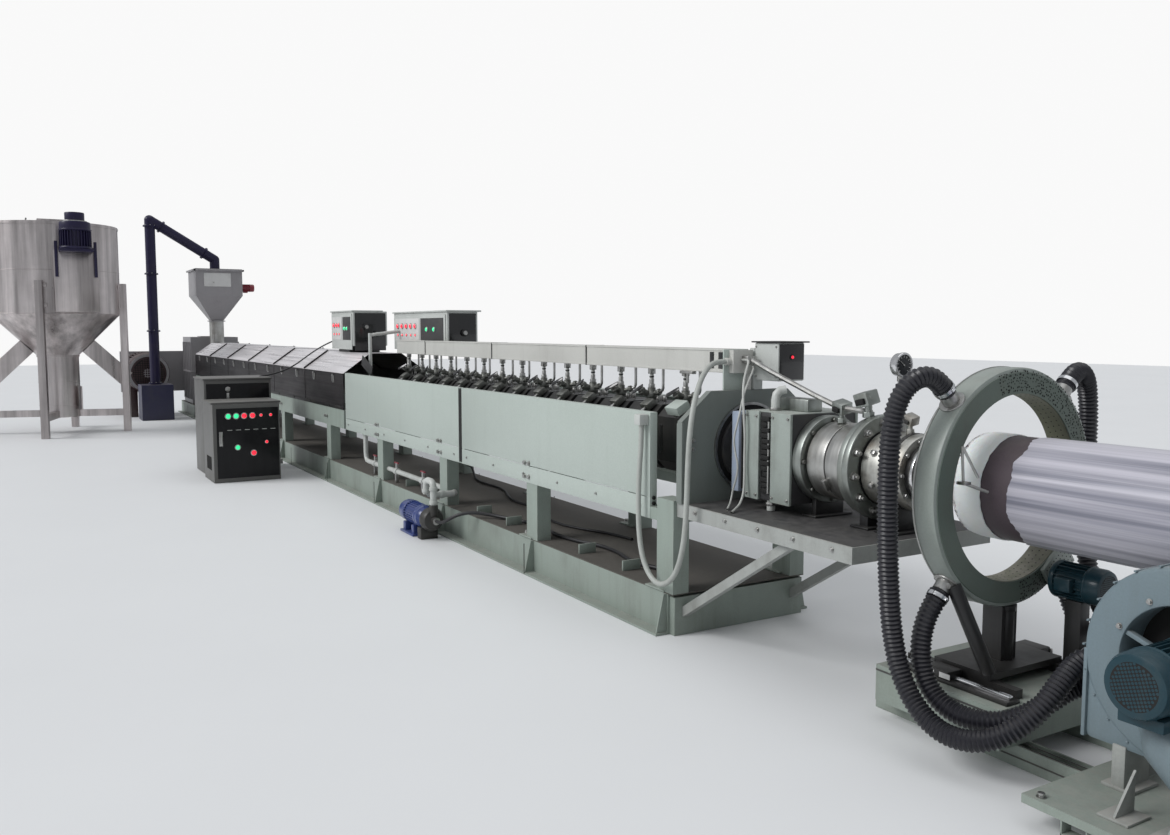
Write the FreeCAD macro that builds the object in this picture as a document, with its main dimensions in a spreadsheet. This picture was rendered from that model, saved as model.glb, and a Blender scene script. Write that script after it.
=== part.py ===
import FreeCAD, Part
import Sketcher
import itertools
import math
import os
import re

# A foam-film extrusion line in millimetres: X runs downstream along the barrel, the operator stands at -Y.
# The origin is on the floor, on the machine's axis, under the downstream end of the skid.
SIZES = {
    # the line
    "axis_height": 980, "panel_drop": 390, "panel_rise": 180, "seat_gap": 0.3,
    # skid: two Z-section beams, cross beams and a deck
    "skid_length": 16500, "skid_half": 450, "skid_height": 215, "beam_web": 12, "beam_toe": 75,
    "beam_lip": 70, "deck_thick": 6, "end_beam_wide": 100, "end_beam_out": 45, "gusset_thick": 10,
    "gusset_low": 65, "gusset_high": 20,
    # posts, rails and the cradles that carry the barrel
    "post_wide": 150, "post_deep": 100, "bay": 1525, "end_post_at": 30, "end_post_over": 10,
    "cover_bay": 2000, "rail_wide": 70, "rail_high": 65, "cradle_wide": 90, "saddle_wide": 160,
    # sheet panels over the heated barrel
    "sheet": 3, "panel_deep": 80, "panel_start": 170, "panel_length": 2530, "panel_gap": 60,
    "second_panel_length": 2890,
    # barrel, its jackets and their valves
    "barrel_radius": 110, "barrel_length": 15000, "jacket_half": 185, "jacket_length": 300,
    "jacket_pitch": 340, "jacket_start": 190, "jacket_edge": 60, "valve_radius": 26, "valve_high": 90,
    "valve_offset": 100, "drop_radius": 9,
    # cable trunk over the barrel and its posts
    "trunk_rise": 390, "trunk_high": 120, "trunk_wide": 130, "trunk_start": 100, "trunk_length": 5150,
    "trunk_offset": 50, "trunk_post": 30,
    # end plate and the sensor box on its post
    "plate_at": 60, "plate_thick": 40, "plate_inset": 10, "plate_rise": 300, "plate_bend": 150,
    "plate_crown": 260, "sensor_long": 190, "sensor_wide": 180, "sensor_high": 200, "sensor_rise": 350,
    "sensor_post": 60, "sensor_roof": 8, "sensor_eaves": 12, "sensor_visor": 25, "sensor_post_under": 30,
    # faceted steel cover over the upstream barrel
    "cover_start": 5720, "cover_length": 8980, "cover_rail_high": 190, "cover_bend": 170,
    "cover_rise": 370, "cover_crown": 170, "cover_sheet": 4,
    # adapter, heater block, static mixer and die, all on the barrel's axis
    "adapter_radius": 90, "adapter_plate_at": 190, "adapter_plate_thick": 80, "adapter_half": 205,
    "block_at": 330, "block_long": 330, "block_half": 220, "neck_radius": 150, "flange_long": 60,
    "flange_radius": 209, "mixer_body_radius": 184, "coupling_at": 970, "coupling_long": 80,
    "coupling_radius": 238, "die_radius": 168, "die_long": 220, "nose_radius": 105, "nose_ring": 128,
    "nose_long": 180, "nose_tip": 70,
    # pressure gauge
    "gauge_at": 1120, "gauge_stem": 22, "gauge_dial": 55, "gauge_thick": 45, "gauge_rise": 463,
    # table under the die
    "table_drop": 275, "table_thick": 12, "table_long": 1235, "table_inset": 20, "table_angle": 60,
    "table_angle_wall": 8, "brace": 40, "brace_reach": 900, "brace_drop": 120,
    # air ring with its hose stubs, and its stand
    "ring_at": 1610, "ring_thick": 110, "ring_radius": 472, "ring_hole": 373, "stub_radius": 34,
    "stub_long": 45, "stub_angle": 47, "stub_sink": 8, "stand_wide": 90,
    # mandrel, foam and film on it, and its stands
    "mandrel_radius": 205, "mandrel_at": 1580, "mandrel_long": 2320, "shaft_radius": 40,
    "foam_long": 130, "foam_thick": 4, "film_at": 1830, "film_long": 1950, "film_thick": 4,
    "mandrel_stand_wide": 240,
    # floor rails, trolley and carriage
    "floor_rail_at": 1270, "floor_rail_long": 2850, "floor_rail_wide": 80, "floor_rail_high": 80,
    "floor_rail_gauge": 440, "rail_wall": 8, "trolley_at": 1360, "trolley_long": 590,
    "trolley_half": 360, "trolley_high": 150, "guide_wide": 40, "guide_high": 35, "guide_gauge": 360,
    "carriage_long": 260, "carriage_thick": 25,
    # blower, its base and the air manifold
    "blower_at": 2570, "blower_height": 560, "volute_radius": 320, "volute_wide": 150, "volute_face": 350,
    "volute_mouth": 120, "motor_radius": 105, "motor_long": 250, "outlet_high": 170, "blower_base_long": 900,
    "blower_base_half": 420, "foot_wide": 90, "foot_long": 330,
    "manifold_long": 150, "manifold_wide": 200, "manifold_high": 230, "manifold_low": 290,
    "inlet_pitch": 100, "inlet_edge": 65, "lift_motor_at": 1780, "lift_motor_long": 210,
    "lift_motor_radius": 75,
    "lift_motor_height": 610, "lift_motor_offset": 200, "lift_post": 36,
    # hoses and conduit
    "hose_radius": 40, "conduit_radius": 14, "cable_radius": 6, "loop_radius": 5,
    "deck_hose_radius": 13, "deck_cable_radius": 10, "cover_cable_radius": 8, "gland_radius": 20,
    "gland_long": 30, "gland_inset": 10,
    # hopper with its drive and feed housing
    "hopper_at": 15100, "hopper_half": 400, "hopper_rise": 780, "funnel_high": 440, "hopper_side": 470,
    "hopper_neck": 110, "hopper_wall": 6, "lid_thick": 8, "throat_radius": 125, "hopper_motor_radius": 70,
    "hopper_motor_long": 240, "hopper_motor_up": 150, "feed_radius": 330, "feed_long": 420,
    # gearbox and drive motor
    "gearbox_long": 900, "gearbox_half": 420, "gearbox_rise": 470, "drive_radius": 380, "drive_long": 900,
    "drive_offset": 1150, "drive_drop": 180, "drive_foot": 120,
    # stirred mixing silo with its frame, tube, chutes and motor
    "silo_at": 13200, "silo_offset": 2680, "silo_radius": 900, "silo_top": 3150, "silo_knee": 1830,
    "silo_cone_end": 1190, "silo_wall": 6, "silo_tube": 285, "silo_tube_low": 250, "silo_leg": 100,
    "silo_leg_angle": 15, "silo_leg_high": 2300, "silo_roof": 12, "silo_hatch": 420, "silo_hatch_high": 90,
    "silo_box_low": 1840, "silo_box_high": 900, "silo_box_wide": 600, "silo_box_out": 30, "silo_motor": 220,
    "silo_motor_high": 400, "silo_motor_shift": 240, "silo_cap": 130, "silo_shelf": 40, "chute_wide": 200,
    "chute_root": 340, "chute_deep": 170, "chute_reach": 520,
    # screw feeder from the floor bin to the hopper
    "duct_radius": 85, "duct_offset": 1100, "duct_at": 14900, "duct_rise": 2520, "duct_over": 182,
    "bin_half": 260, "bin_high": 620,
    # floor cabinets
    "cabinet_at": 6580, "cabinet_low": 890, "cabinet_wide": 680, "cabinet_high": 820, "cabinet_deep": 560,
    "cabinet_wall": 20, "door_thick": 24, "hinge_radius": 9, "door_gap": 2, "hinge_out": 12,
    "lug_long": 60, "lug_thick": 12, "pin_long": 52, "knuckle_long": 36, "strap_thick": 6, "strap_lap": 4,
    "pin_play": 0.05, "second_cabinet_at": 7250, "second_cabinet_low": 820, "second_cabinet_high": 1050,
    "second_cabinet_deep": 620, "second_cabinet_wide": 720,
    # control boxes on brackets
    "box_deep": 380, "box_high": 360, "box_stand": 80, "upper_box_at": 7000, "upper_box_long": 800,
    "middle_box_at": 5500, "middle_box_long": 1400, "middle_box_deep": 300, "middle_box_high": 390,
    # water pump beside the skid
    "pump_at": 3350, "pump_long": 620, "pump_gap": 35, "pump_radius": 90, "pump_height": 160,
    "riser_radius": 30, "riser_high": 260,
}
# Places that follow the barrel's axis or the skid's width, so that pieces stay together when those change.
PLACES = {
    "panel_low": "axis_height - panel_drop",
    "panel_high": "axis_height + panel_rise",
    "trunk_low": "axis_height + trunk_rise",
    "plate_top": "axis_height + plate_rise",
    "plate_shoulder": "axis_height + plate_bend",
    "plate_half": "skid_half - plate_inset",
    "sensor_low": "axis_height + sensor_rise",
    "cover_shoulder": "axis_height + cover_bend",
    "cover_top": "axis_height + cover_rise",
    "gauge_height": "axis_height + gauge_rise",
    "table_top": "axis_height - table_drop",
    "table_half": "skid_half - table_inset",
    "end_post_high": "axis_height - table_drop + end_post_over",
    "hopper_low": "axis_height + hopper_rise",
    "hopper_knee": "axis_height + hopper_rise + funnel_high",
    "hopper_high": "axis_height + hopper_rise + funnel_high + hopper_side",
    "hopper_motor_height": "axis_height + hopper_rise + funnel_high + hopper_motor_up",
    "duct_top": "axis_height + duct_rise",
    "duct_end": "axis_height + hopper_rise + funnel_high + hopper_side + lid_thick + duct_over",
    "gearbox_high": "axis_height + gearbox_rise",
    "drive_height": "axis_height - drive_drop",
    "box_low": "axis_height + cover_rise + box_stand",
    "pump_offset": "skid_half + beam_toe + pump_gap + pump_radius",
}

doc = FreeCAD.newDocument("line")
sheet = doc.addObject("Spreadsheet::Sheet", "dims")
for row, (alias, value) in enumerate(SIZES.items(), start=1):
    sheet.set(f"A{row}", alias)
    sheet.set(f"B{row}", str(value))
    sheet.setAlias(f"B{row}", alias)
doc.recompute()

AXES = {"X": FreeCAD.Vector(0, 1, 0), "Y": FreeCAD.Vector(-1, 0, 0), "Z": FreeCAD.Vector(0, 0, 1)}
TURNS = {"X": 90, "Y": 90, "Z": 0}
SIDES = (-1, 1)
NODES = []


def formula(text):
    """An expression in which each place is spelt out, and each size's name points at its cell."""
    name = r"[a-z]\w*"
    spelt = re.sub(name, lambda word: f"({PLACES[word[0]]})" if word[0] in PLACES else word[0], str(text))
    return re.sub(name, lambda word: f"dims.{word[0]}" if word[0] in SIZES else word[0], spelt)


def size(text):
    """The number that a formula gives, for sketches and shapes made in code."""
    return float(sheet.evalExpression(formula(text)))


def bind(item, **sizes):
    for name, text in sizes.items():
        item.setExpression(name, formula(text))
    return item


def place(item, spot):
    for axis, text in zip("xyz", spot):
        item.setExpression(f"Placement.Base.{axis}", formula(text))
    return item


def box(spot, length, width, height):
    return place(bind(doc.addObject("Part::Box", "block"), Length=length, Width=width, Height=height), spot)


def rod(axis, spot, radius, length):
    """A cylinder that starts at a spot and runs along +X, +Y or +Z."""
    item = bind(doc.addObject("Part::Cylinder", "rod"), Radius=radius, Height=length)
    item.Placement.Rotation = FreeCAD.Rotation(AXES[axis], TURNS[axis])
    return place(item, spot)


def cone(axis, spot, first, second, length):
    item = bind(doc.addObject("Part::Cone", "taper"), Radius1=first, Radius2=second, Height=length)
    item.Placement.Rotation = FreeCAD.Rotation(AXES[axis], TURNS[axis])
    return place(item, spot)


def cut(base, tool):
    item = doc.addObject("Part::Cut", "cut")
    item.Base = base
    item.Tool = tool
    return item


def fuse(*items):
    item = doc.addObject("Part::MultiFuse", "fuse")
    item.Shapes = list(items)
    return item


def group(items):
    item = doc.addObject("Part::Compound", "set")
    item.Links = list(items)
    return item


def outlined(role, outline):
    """A body with one closed sketch, whose corners are bound to the sheet."""
    body = doc.addObject("PartDesign::Body", "body")
    sketch = body.newObject("Sketcher::SketchObject", "profile")
    plane = next(item for item in body.Origin.OriginFeatures if item.Role == role)
    sketch.AttachmentSupport = [(plane, "")]
    sketch.MapMode = "FlatFace"
    corners = [FreeCAD.Vector(size(across), size(up), 0) for across, up in outline]
    for corner, following in zip(corners, corners[1:] + corners[:1]):
        sketch.addGeometry(Part.LineSegment(corner, following))
    for index in range(len(corners)):
        sketch.addConstraint(Sketcher.Constraint("Coincident", index, 2, (index + 1) % len(corners), 1))
    for index, ((across, up), corner) in enumerate(zip(outline, corners)):
        for kind, text, value in (("DistanceX", across, corner.x), ("DistanceY", up, corner.y)):
            number = sketch.addConstraint(Sketcher.Constraint(kind, -1, 1, index, 1, value))
            sketch.setExpression(f"Constraints[{number}]", formula(text))
    return body, sketch


def pad(role, outline, length, spot):
    """An outline pushed out to a length: along +X from the YZ plane, -Y from XZ, +Z from XY."""
    body, sketch = outlined(role, outline)
    feature = body.newObject("PartDesign::Pad", "pad")
    feature.Profile = sketch
    bind(feature, Length=length)
    return place(body, spot)


def turned(outline, spot, axis="H_Axis"):
    """(along, radius) corners turned about X, or (radius, height) corners about Z with the V_Axis."""
    body, sketch = outlined("XZ_Plane", outline)
    feature = body.newObject("PartDesign::Revolution", "turn")
    feature.Profile = sketch
    feature.ReferenceAxis = (sketch, [axis])
    feature.Angle = 360
    return place(body, spot)


def node(name, item):
    item.Label = name
    NODES.append(item)
    return item


def route_tube(name, radius, points):
    """A round tube along straight runs joined by tangent arcs, as large as the runs allow."""
    path = [FreeCAD.Vector(*point) for point in points]
    edges = []
    start = path[0]
    for before, corner, after in zip(path, path[1:], path[2:]):
        reach = 0.45 * min((corner - before).Length, (after - corner).Length)
        enter = corner + (before - corner).normalize() * reach
        leave = corner + (after - corner).normalize() * reach
        turn = (corner - before).getAngle(after - corner)
        bend = reach / math.tan(turn / 2)
        middle = corner + ((enter + leave) / 2 - corner).normalize() * bend * (1 / math.cos(turn / 2) - 1)
        edges += [Part.LineSegment(start, enter).toShape(), Part.Arc(enter, middle, leave).toShape()]
        start = leave
        print(f"{name}: bend radius {bend:.0f}")
    edges.append(Part.LineSegment(start, path[-1]).toShape())
    wire = Part.Wire(edges)
    section = Part.Wire(Part.Circle(path[0], path[1] - path[0], radius).toShape())
    solid = wire.makePipeShell([section], True, False, 1)
    print(f"{name}: length {wire.Length:.0f}, fill {solid.Volume / (math.pi * radius ** 2 * wire.Length):.4f}")
    item = doc.addObject("Part::Feature", "tube")
    item.Shape = solid
    return node(name, item)


def across(side, outline):
    """An outline of (y, z) corners on one side of the machine."""
    return [(f"{side} * ({out})", up) for out, up in outline]


def span(side, near, depth):
    """The low y of something that starts at a distance from the axis and goes on by its depth."""
    return near if side > 0 else f"-({near}) - ({depth})"


POSTS = [f"-end_post_at - {number} * bay" for number in range(4)]
COVER_POSTS = [f"-cover_start - rail_wide * 8 - {number} * cover_bay" for number in range(5)]
DECK_TOP = "skid_height + deck_thick"
RAIL_TOP = "panel_low + rail_high"
COVER_LOW = "panel_low + cover_rail_high"
BARREL_START = "plate_at - barrel_length"


def skid():
    section = [
        ("skid_half + beam_toe", "0"), ("skid_half + beam_toe", "beam_web"), ("skid_half", "beam_web"),
        ("skid_half", "skid_height"), ("skid_half - beam_web - beam_lip", "skid_height"),
        ("skid_half - beam_web - beam_lip", "skid_height - beam_web"),
        ("skid_half - beam_web", "skid_height - beam_web"), ("skid_half - beam_web", "0"),
    ]
    spot = ("-skid_length", "0", "0")
    beams = [pad("YZ_Plane", across(side, section), "skid_length", spot) for side in SIDES]
    node("skid_beams", group(beams))
    plate = [
        ("skid_half", "beam_web"), ("skid_half + gusset_low", "beam_web"),
        ("skid_half + gusset_high", "skid_height"), ("skid_half", "skid_height"),
    ]
    gussets = []
    for post in POSTS + COVER_POSTS:
        for side in SIDES:
            spot = (f"{post} + end_post_at / 3", "0", "0")
            gussets.append(pad("YZ_Plane", across(side, plate), "gusset_thick", spot))
    node("skid_gussets", group(gussets))
    inside = "skid_half - beam_web"
    ends = ["end_beam_out - end_beam_wide"] + [f"-skid_length * {number} / 5" for number in range(1, 6)]
    bars = [
        box((start, f"-({inside})", "0"), "end_beam_wide", f"2 * ({inside})", "skid_height - beam_web")
        for start in ends
    ]
    node("cross_beams", group(bars))
    node("deck", box(("-skid_length", "-skid_half", "skid_height"), "skid_length + end_beam_out",
                     "2 * skid_half", "deck_thick"))


def frame():
    posts = []
    for number, post in enumerate(POSTS + COVER_POSTS):
        top = "end_post_high" if number == 0 else "panel_low"
        for side in SIDES:
            spot = (f"{post} - post_wide / 2", span(side, "skid_half - post_deep", "post_deep"), DECK_TOP)
            posts.append(box(spot, "post_wide", "post_deep", f"{top} - ({DECK_TOP})"))
    node("posts", group(posts))
    rails = []
    for side in SIDES:
        inner = span(side, "skid_half - rail_wide", "rail_wide")
        end = "panel_start + panel_length + panel_gap + second_panel_length"
        rails.append(box((f"-({end})", inner, "panel_low"), f"{end} - end_post_at - post_wide / 2",
                         "rail_wide", "rail_high"))
        rails.append(box(("-cover_start - cover_length", inner, "panel_low"), "cover_length",
                         "rail_wide", "cover_rail_high"))
    node("upper_rails", group(rails))
    cradles = []
    for number, post in enumerate(POSTS + COVER_POSTS):
        top = "axis_height - jacket_half" if 0 < number < len(POSTS) else "axis_height - barrel_radius"
        inside = "skid_half - post_deep" if number == 0 else "skid_half - rail_wide"
        bar = box((f"{post} - cradle_wide / 2", f"-({inside})", "panel_low"), "cradle_wide", f"2 * ({inside})",
                  "rail_high")
        saddle = box((f"{post} - cradle_wide / 2", "-saddle_wide / 2", RAIL_TOP), "cradle_wide",
                     "saddle_wide", f"{top} - ({RAIL_TOP})")
        cradles.append(fuse(bar, saddle))
    node("cradles", group(cradles))


def sheet_panel(side, start, length, extra=()):
    """A sheet cover with its ends and top folded back over the rail."""
    low = RAIL_TOP
    back = span(side, "skid_half - panel_deep", "panel_deep")
    pieces = [
        box((f"-({start}) - ({length})", span(side, "skid_half", "sheet"), "panel_low"), length, "sheet",
            "panel_high - panel_low"),
        box((f"-({start}) - ({length})", back, "panel_high - sheet"), length, "panel_deep", "sheet"),
        box((f"-({start}) - sheet", back, low), "sheet", "panel_deep", f"panel_high - ({low})"),
        box((f"-({start}) - ({length})", back, low), "sheet", "panel_deep", f"panel_high - ({low})"),
    ]
    return fuse(*pieces, *extra)


def panels():
    second = "panel_start + panel_length + panel_gap"
    side = "gland_long * 2"
    spot = (f"-panel_start - {side} - gland_inset", f"-skid_half - sheet - {side}",
            f"panel_high - {side} - gland_inset")
    entry = box(spot, side, side, side)
    node("side_panels", group([
        sheet_panel(-1, "panel_start", "panel_length", (entry,)),
        sheet_panel(-1, second, "second_panel_length"),
        sheet_panel(1, "panel_start", "panel_length"),
        sheet_panel(1, second, "second_panel_length"),
    ]))


def barrel():
    node("barrel", rod("X", (BARREL_START, "0", "axis_height"), "barrel_radius", "barrel_length"))
    half = "jacket_half"
    cant = "jacket_half - jacket_edge"
    section = [
        (f"-({half})", f"-({cant})"), (f"-({cant})", f"-({half})"), (cant, f"-({half})"),
        (half, f"-({cant})"), (half, cant), (cant, half), (f"-({cant})", half), (f"-({half})", cant),
    ]
    jackets = []
    valves = []
    for number in range(14):
        start = f"-jacket_start - {number} * jacket_pitch - jacket_length"
        block = pad("YZ_Plane", section, "jacket_length", (start, "0", "axis_height"))
        bore = rod("X", (start, "0", "axis_height"), "barrel_radius", "jacket_length")
        jackets.append(cut(block, bore))
        middle = f"{start} + jacket_length / 2"
        top = "axis_height + jacket_half"
        body = rod("Z", (middle, "-valve_offset", top), "valve_radius", "valve_high")
        drop = rod("Z", (middle, "-valve_offset", f"{top} + valve_high"), "drop_radius",
                   f"trunk_low - ({top} + valve_high)")
        valves.append(fuse(body, drop))
    node("barrel_jackets", group(jackets))
    node("valve_sets", group(valves))


def trunk():
    low = "-trunk_offset - trunk_wide / 2"
    tray = box(("trunk_start - trunk_length", low, "trunk_low"), "trunk_length", "trunk_wide", "trunk_high")
    gland = rod("Y", ("trunk_start - gland_long", f"{low} - gland_long", "trunk_low + trunk_high / 2"),
                "gland_radius", "gland_long")
    upstream = box(("trunk_start - trunk_length", "-trunk_post / 2", "axis_height + barrel_radius"),
                   "trunk_post", "trunk_post", "trunk_low - axis_height - barrel_radius")
    downstream = box(("plate_at", "-trunk_post / 2", "plate_top"), "trunk_post", "trunk_post",
                     "trunk_low - plate_top")
    node("cable_trunk", fuse(tray, gland, upstream, downstream))
    outline = [
        ("-plate_half", "table_top"), ("plate_half", "table_top"), ("plate_half", "plate_shoulder"),
        ("plate_crown", "plate_top"), ("-plate_crown", "plate_top"), ("-plate_half", "plate_shoulder"),
    ]
    node("end_plate", pad("YZ_Plane", outline, "plate_thick", ("plate_at", "0", "0")))
    side = "-trunk_offset + trunk_wide / 2 + gland_radius / 2"
    face = "plate_at + plate_thick"
    post = box(("plate_at", side, "plate_top"), "plate_thick", "sensor_post",
               "sensor_low + sensor_high - plate_top - sensor_post_under")
    body = box((face, side, "sensor_low"), "sensor_long", "sensor_wide", "sensor_high")
    roof = box((face, f"{side} - sensor_eaves", "sensor_low + sensor_high"), "sensor_long + sensor_visor",
               "sensor_wide + 2 * sensor_eaves", "sensor_roof")
    node("sensor_box", fuse(post, body, roof))


def cover():
    inside = "cover_sheet"
    outline = [
        ("-skid_half", COVER_LOW), ("-skid_half", "cover_shoulder"), ("-cover_crown", "cover_top"),
        ("cover_crown", "cover_top"), ("skid_half", "cover_shoulder"), ("skid_half", COVER_LOW),
        (f"skid_half - {inside}", COVER_LOW), (f"skid_half - {inside}", f"cover_shoulder - {inside} / 2"),
        (f"cover_crown - {inside} / 2", f"cover_top - {inside}"),
        (f"-cover_crown + {inside} / 2", f"cover_top - {inside}"),
        (f"-skid_half + {inside}", f"cover_shoulder - {inside} / 2"), (f"-skid_half + {inside}", COVER_LOW),
    ]
    node("barrel_cover", pad("YZ_Plane", outline, "cover_length", ("-cover_start - cover_length", "0", "0")))


def melt_line():
    """The adapter, heater block, static mixer, coupling and die, end to end on the barrel's axis."""
    face = "plate_at + plate_thick"
    pipe = rod("X", (face, "0", "axis_height"), "adapter_radius", f"adapter_plate_at - ({face})")
    plate = box(("adapter_plate_at", "-adapter_half", "axis_height - adapter_half"), "adapter_plate_thick",
                "2 * adapter_half", "2 * adapter_half")
    node("adapter", fuse(pipe, plate))
    end = "adapter_plate_at + adapter_plate_thick"
    neck = rod("X", (end, "0", "axis_height"), "neck_radius", f"block_at - ({end})")
    block = box(("block_at", "-block_half", "axis_height - block_half"), "block_long", "2 * block_half",
                "2 * block_half")
    node("heater_block", fuse(neck, block))
    start = "block_at + block_long"
    long = f"coupling_at - ({start})"
    node("static_mixer", turned([
        ("0", "0"), ("0", "flange_radius"), ("flange_long", "flange_radius"),
        ("flange_long", "mixer_body_radius"), (long, "mixer_body_radius"), (long, "0"),
    ], (start, "0", "axis_height")))
    groove = "coupling_long / 16"
    middle = "coupling_long / 2"
    floor = "mixer_body_radius + flange_long / 3"
    node("coupling_flange", turned([
        ("0", "0"), ("0", "coupling_radius"), (f"{middle} - {groove}", "coupling_radius"),
        (f"{middle} - {groove}", floor), (f"{middle} + {groove}", floor),
        (f"{middle} + {groove}", "coupling_radius"), ("coupling_long", "coupling_radius"),
        ("coupling_long", "0"),
    ], ("coupling_at", "0", "axis_height")))
    nose = "die_long + nose_long"
    node("die", turned([
        ("0", "0"), ("0", "die_radius"), ("die_long", "die_radius"), ("die_long", "nose_ring"),
        ("die_long + nose_long / 3", "nose_ring"), ("die_long + nose_long / 3", "nose_radius"),
        ("die_long + nose_long * 2 / 3", "nose_radius"), (nose, "nose_tip"), (nose, "0"),
    ], ("coupling_at + coupling_long", "0", "axis_height")))
    foot = "axis_height + die_radius"
    dial = "gauge_height - gauge_dial / 2"
    node("pressure_gauge", fuse(
        cone("Z", ("gauge_at", "0", foot), "gauge_stem * 0.6", "gauge_stem", f"{dial} - ({foot})"),
        rod("X", ("gauge_at - gauge_thick / 2", "0", "gauge_height"), "gauge_dial", "gauge_thick"),
    ))


def table():
    start = "end_beam_out"
    under = "table_top - table_thick"
    plate = box((start, "-table_half", under), "table_long", "2 * table_half", "table_thick")
    edges = [
        box((start, span(side, "table_half - table_angle_wall", "table_angle_wall"), f"{under} - table_angle"),
            "table_long", "table_angle_wall", "table_angle")
        for side in SIDES
    ]
    end = box((f"{start} + table_long - table_angle_wall", "-table_half", f"{under} - table_angle"),
              "table_angle_wall", "2 * table_half", "table_angle")
    foot = "skid_height - brace_drop"
    outline = [
        ("0", foot), ("0", f"{foot} + brace * 1.4"), ("brace_reach - brace", under),
        ("brace_reach + brace", under),
    ]
    inner = "table_half - brace * 2"
    braces = [
        pad("XZ_Plane", outline, "brace", (start, f"{span(side, inner, 'brace')} + brace", "0"))
        for side in SIDES
    ]
    node("die_table", fuse(plate, *edges, end, *braces))


def air_ring():
    ring = cut(
        rod("X", ("ring_at", "0", "axis_height"), "ring_radius", "ring_thick"),
        rod("X", ("ring_at", "0", "axis_height"), "ring_hole", "ring_thick"),
    )
    pieces = [ring]
    angle = math.radians(size("stub_angle"))
    for front, top in itertools.product(SIDES, SIDES):
        reach = "(ring_radius - stub_sink)"
        stub = doc.addObject("Part::Cylinder", "stub")
        bind(stub, Radius="stub_radius", Height="stub_long + stub_sink")
        outward = FreeCAD.Vector(0, front * math.cos(angle), top * math.sin(angle))
        stub.Placement.Rotation = FreeCAD.Rotation(FreeCAD.Vector(0, 0, 1), outward)
        pieces.append(place(stub, (
            "ring_at + ring_thick / 2",
            f"{front} * {reach} * cos(stub_angle)",
            f"axis_height + {top} * {reach} * sin(stub_angle)",
        )))
    node("air_ring", fuse(*pieces))
    base = "floor_rail_high + trolley_high"
    guides = [
        box(("trolley_at + guide_wide", span(side, "guide_gauge / 2", "guide_wide"), base),
            "trolley_long - 2 * guide_wide", "guide_wide", "guide_high")
        for side in SIDES
    ]
    middle = "ring_at + ring_thick / 2"
    carriage = box((f"{middle} - carriage_long / 2", "-guide_gauge / 2 - guide_wide", f"{base} + guide_high"),
                   "carriage_long", "guide_gauge + 2 * guide_wide", "carriage_thick")
    seat = f"{base} + guide_high + carriage_thick"
    post = box((f"{middle} - stand_wide / 2", "-stand_wide / 2", seat), "stand_wide", "stand_wide",
               f"axis_height - ring_radius - ({seat})")
    node("ring_stand", fuse(*guides, carriage, post))


def mandrel():
    start = "coupling_at + coupling_long + die_long + nose_long"
    near = f"mandrel_at - ({start})"
    far = f"{near} + mandrel_long"
    total = f"{far} + shaft_radius"
    node("mandrel", turned([
        ("0", "0"), ("0", "shaft_radius"), (near, "shaft_radius"), (near, "mandrel_radius"),
        (far, "mandrel_radius"), (far, "shaft_radius"), (total, "shaft_radius"), (total, "0"),
    ], (start, "0", "axis_height")))
    sleeves = [
        cut(rod("X", (at, "0", "axis_height"), f"mandrel_radius + {thick}", long),
            rod("X", (at, "0", "axis_height"), "mandrel_radius", long))
        for at, long, thick in (
            ("mandrel_at", "foam_long", "foam_thick"),
            ("film_at", "film_long", "film_thick"),
        )
    ]
    node("film_sleeves", group(sleeves))
    face = "mandrel_at + mandrel_long + shaft_radius"
    half = "mandrel_stand_wide / 2"
    column = box((face, f"-{half}", "floor_rail_high + foot_wide / 3"), "stand_wide", "mandrel_stand_wide",
                 f"axis_height + {half} - floor_rail_high - foot_wide / 3")
    foot = box((f"{face} - foot_wide", "-floor_rail_gauge / 2", "floor_rail_high"), "2 * foot_wide + stand_wide",
               "floor_rail_gauge", "foot_wide / 3")
    node("mandrel_stand", fuse(column, foot))


def trolley():
    rails = []
    for side in SIDES:
        low = span(side, "floor_rail_gauge / 2 - floor_rail_wide / 2", "floor_rail_wide")
        outer = box(("floor_rail_at", low, "0"), "floor_rail_long", "floor_rail_wide", "floor_rail_high")
        slot = box(("floor_rail_at", f"{low} + rail_wall", "rail_wall"), "floor_rail_long",
                   "floor_rail_wide - 2 * rail_wall", "floor_rail_high")
        rails.append(cut(outer, slot))
    node("floor_rails", group(rails))
    ring_base = box(("trolley_at", "-trolley_half", "floor_rail_high"), "trolley_long", "2 * trolley_half",
                    "trolley_high")
    blower_base = box(("blower_at - foot_long", "-blower_base_half - motor_radius * 2", "floor_rail_high"),
                      "blower_base_long", "blower_base_half * 2", "foot_wide / 3")
    node("trolleys", group([ring_base, blower_base]))


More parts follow.
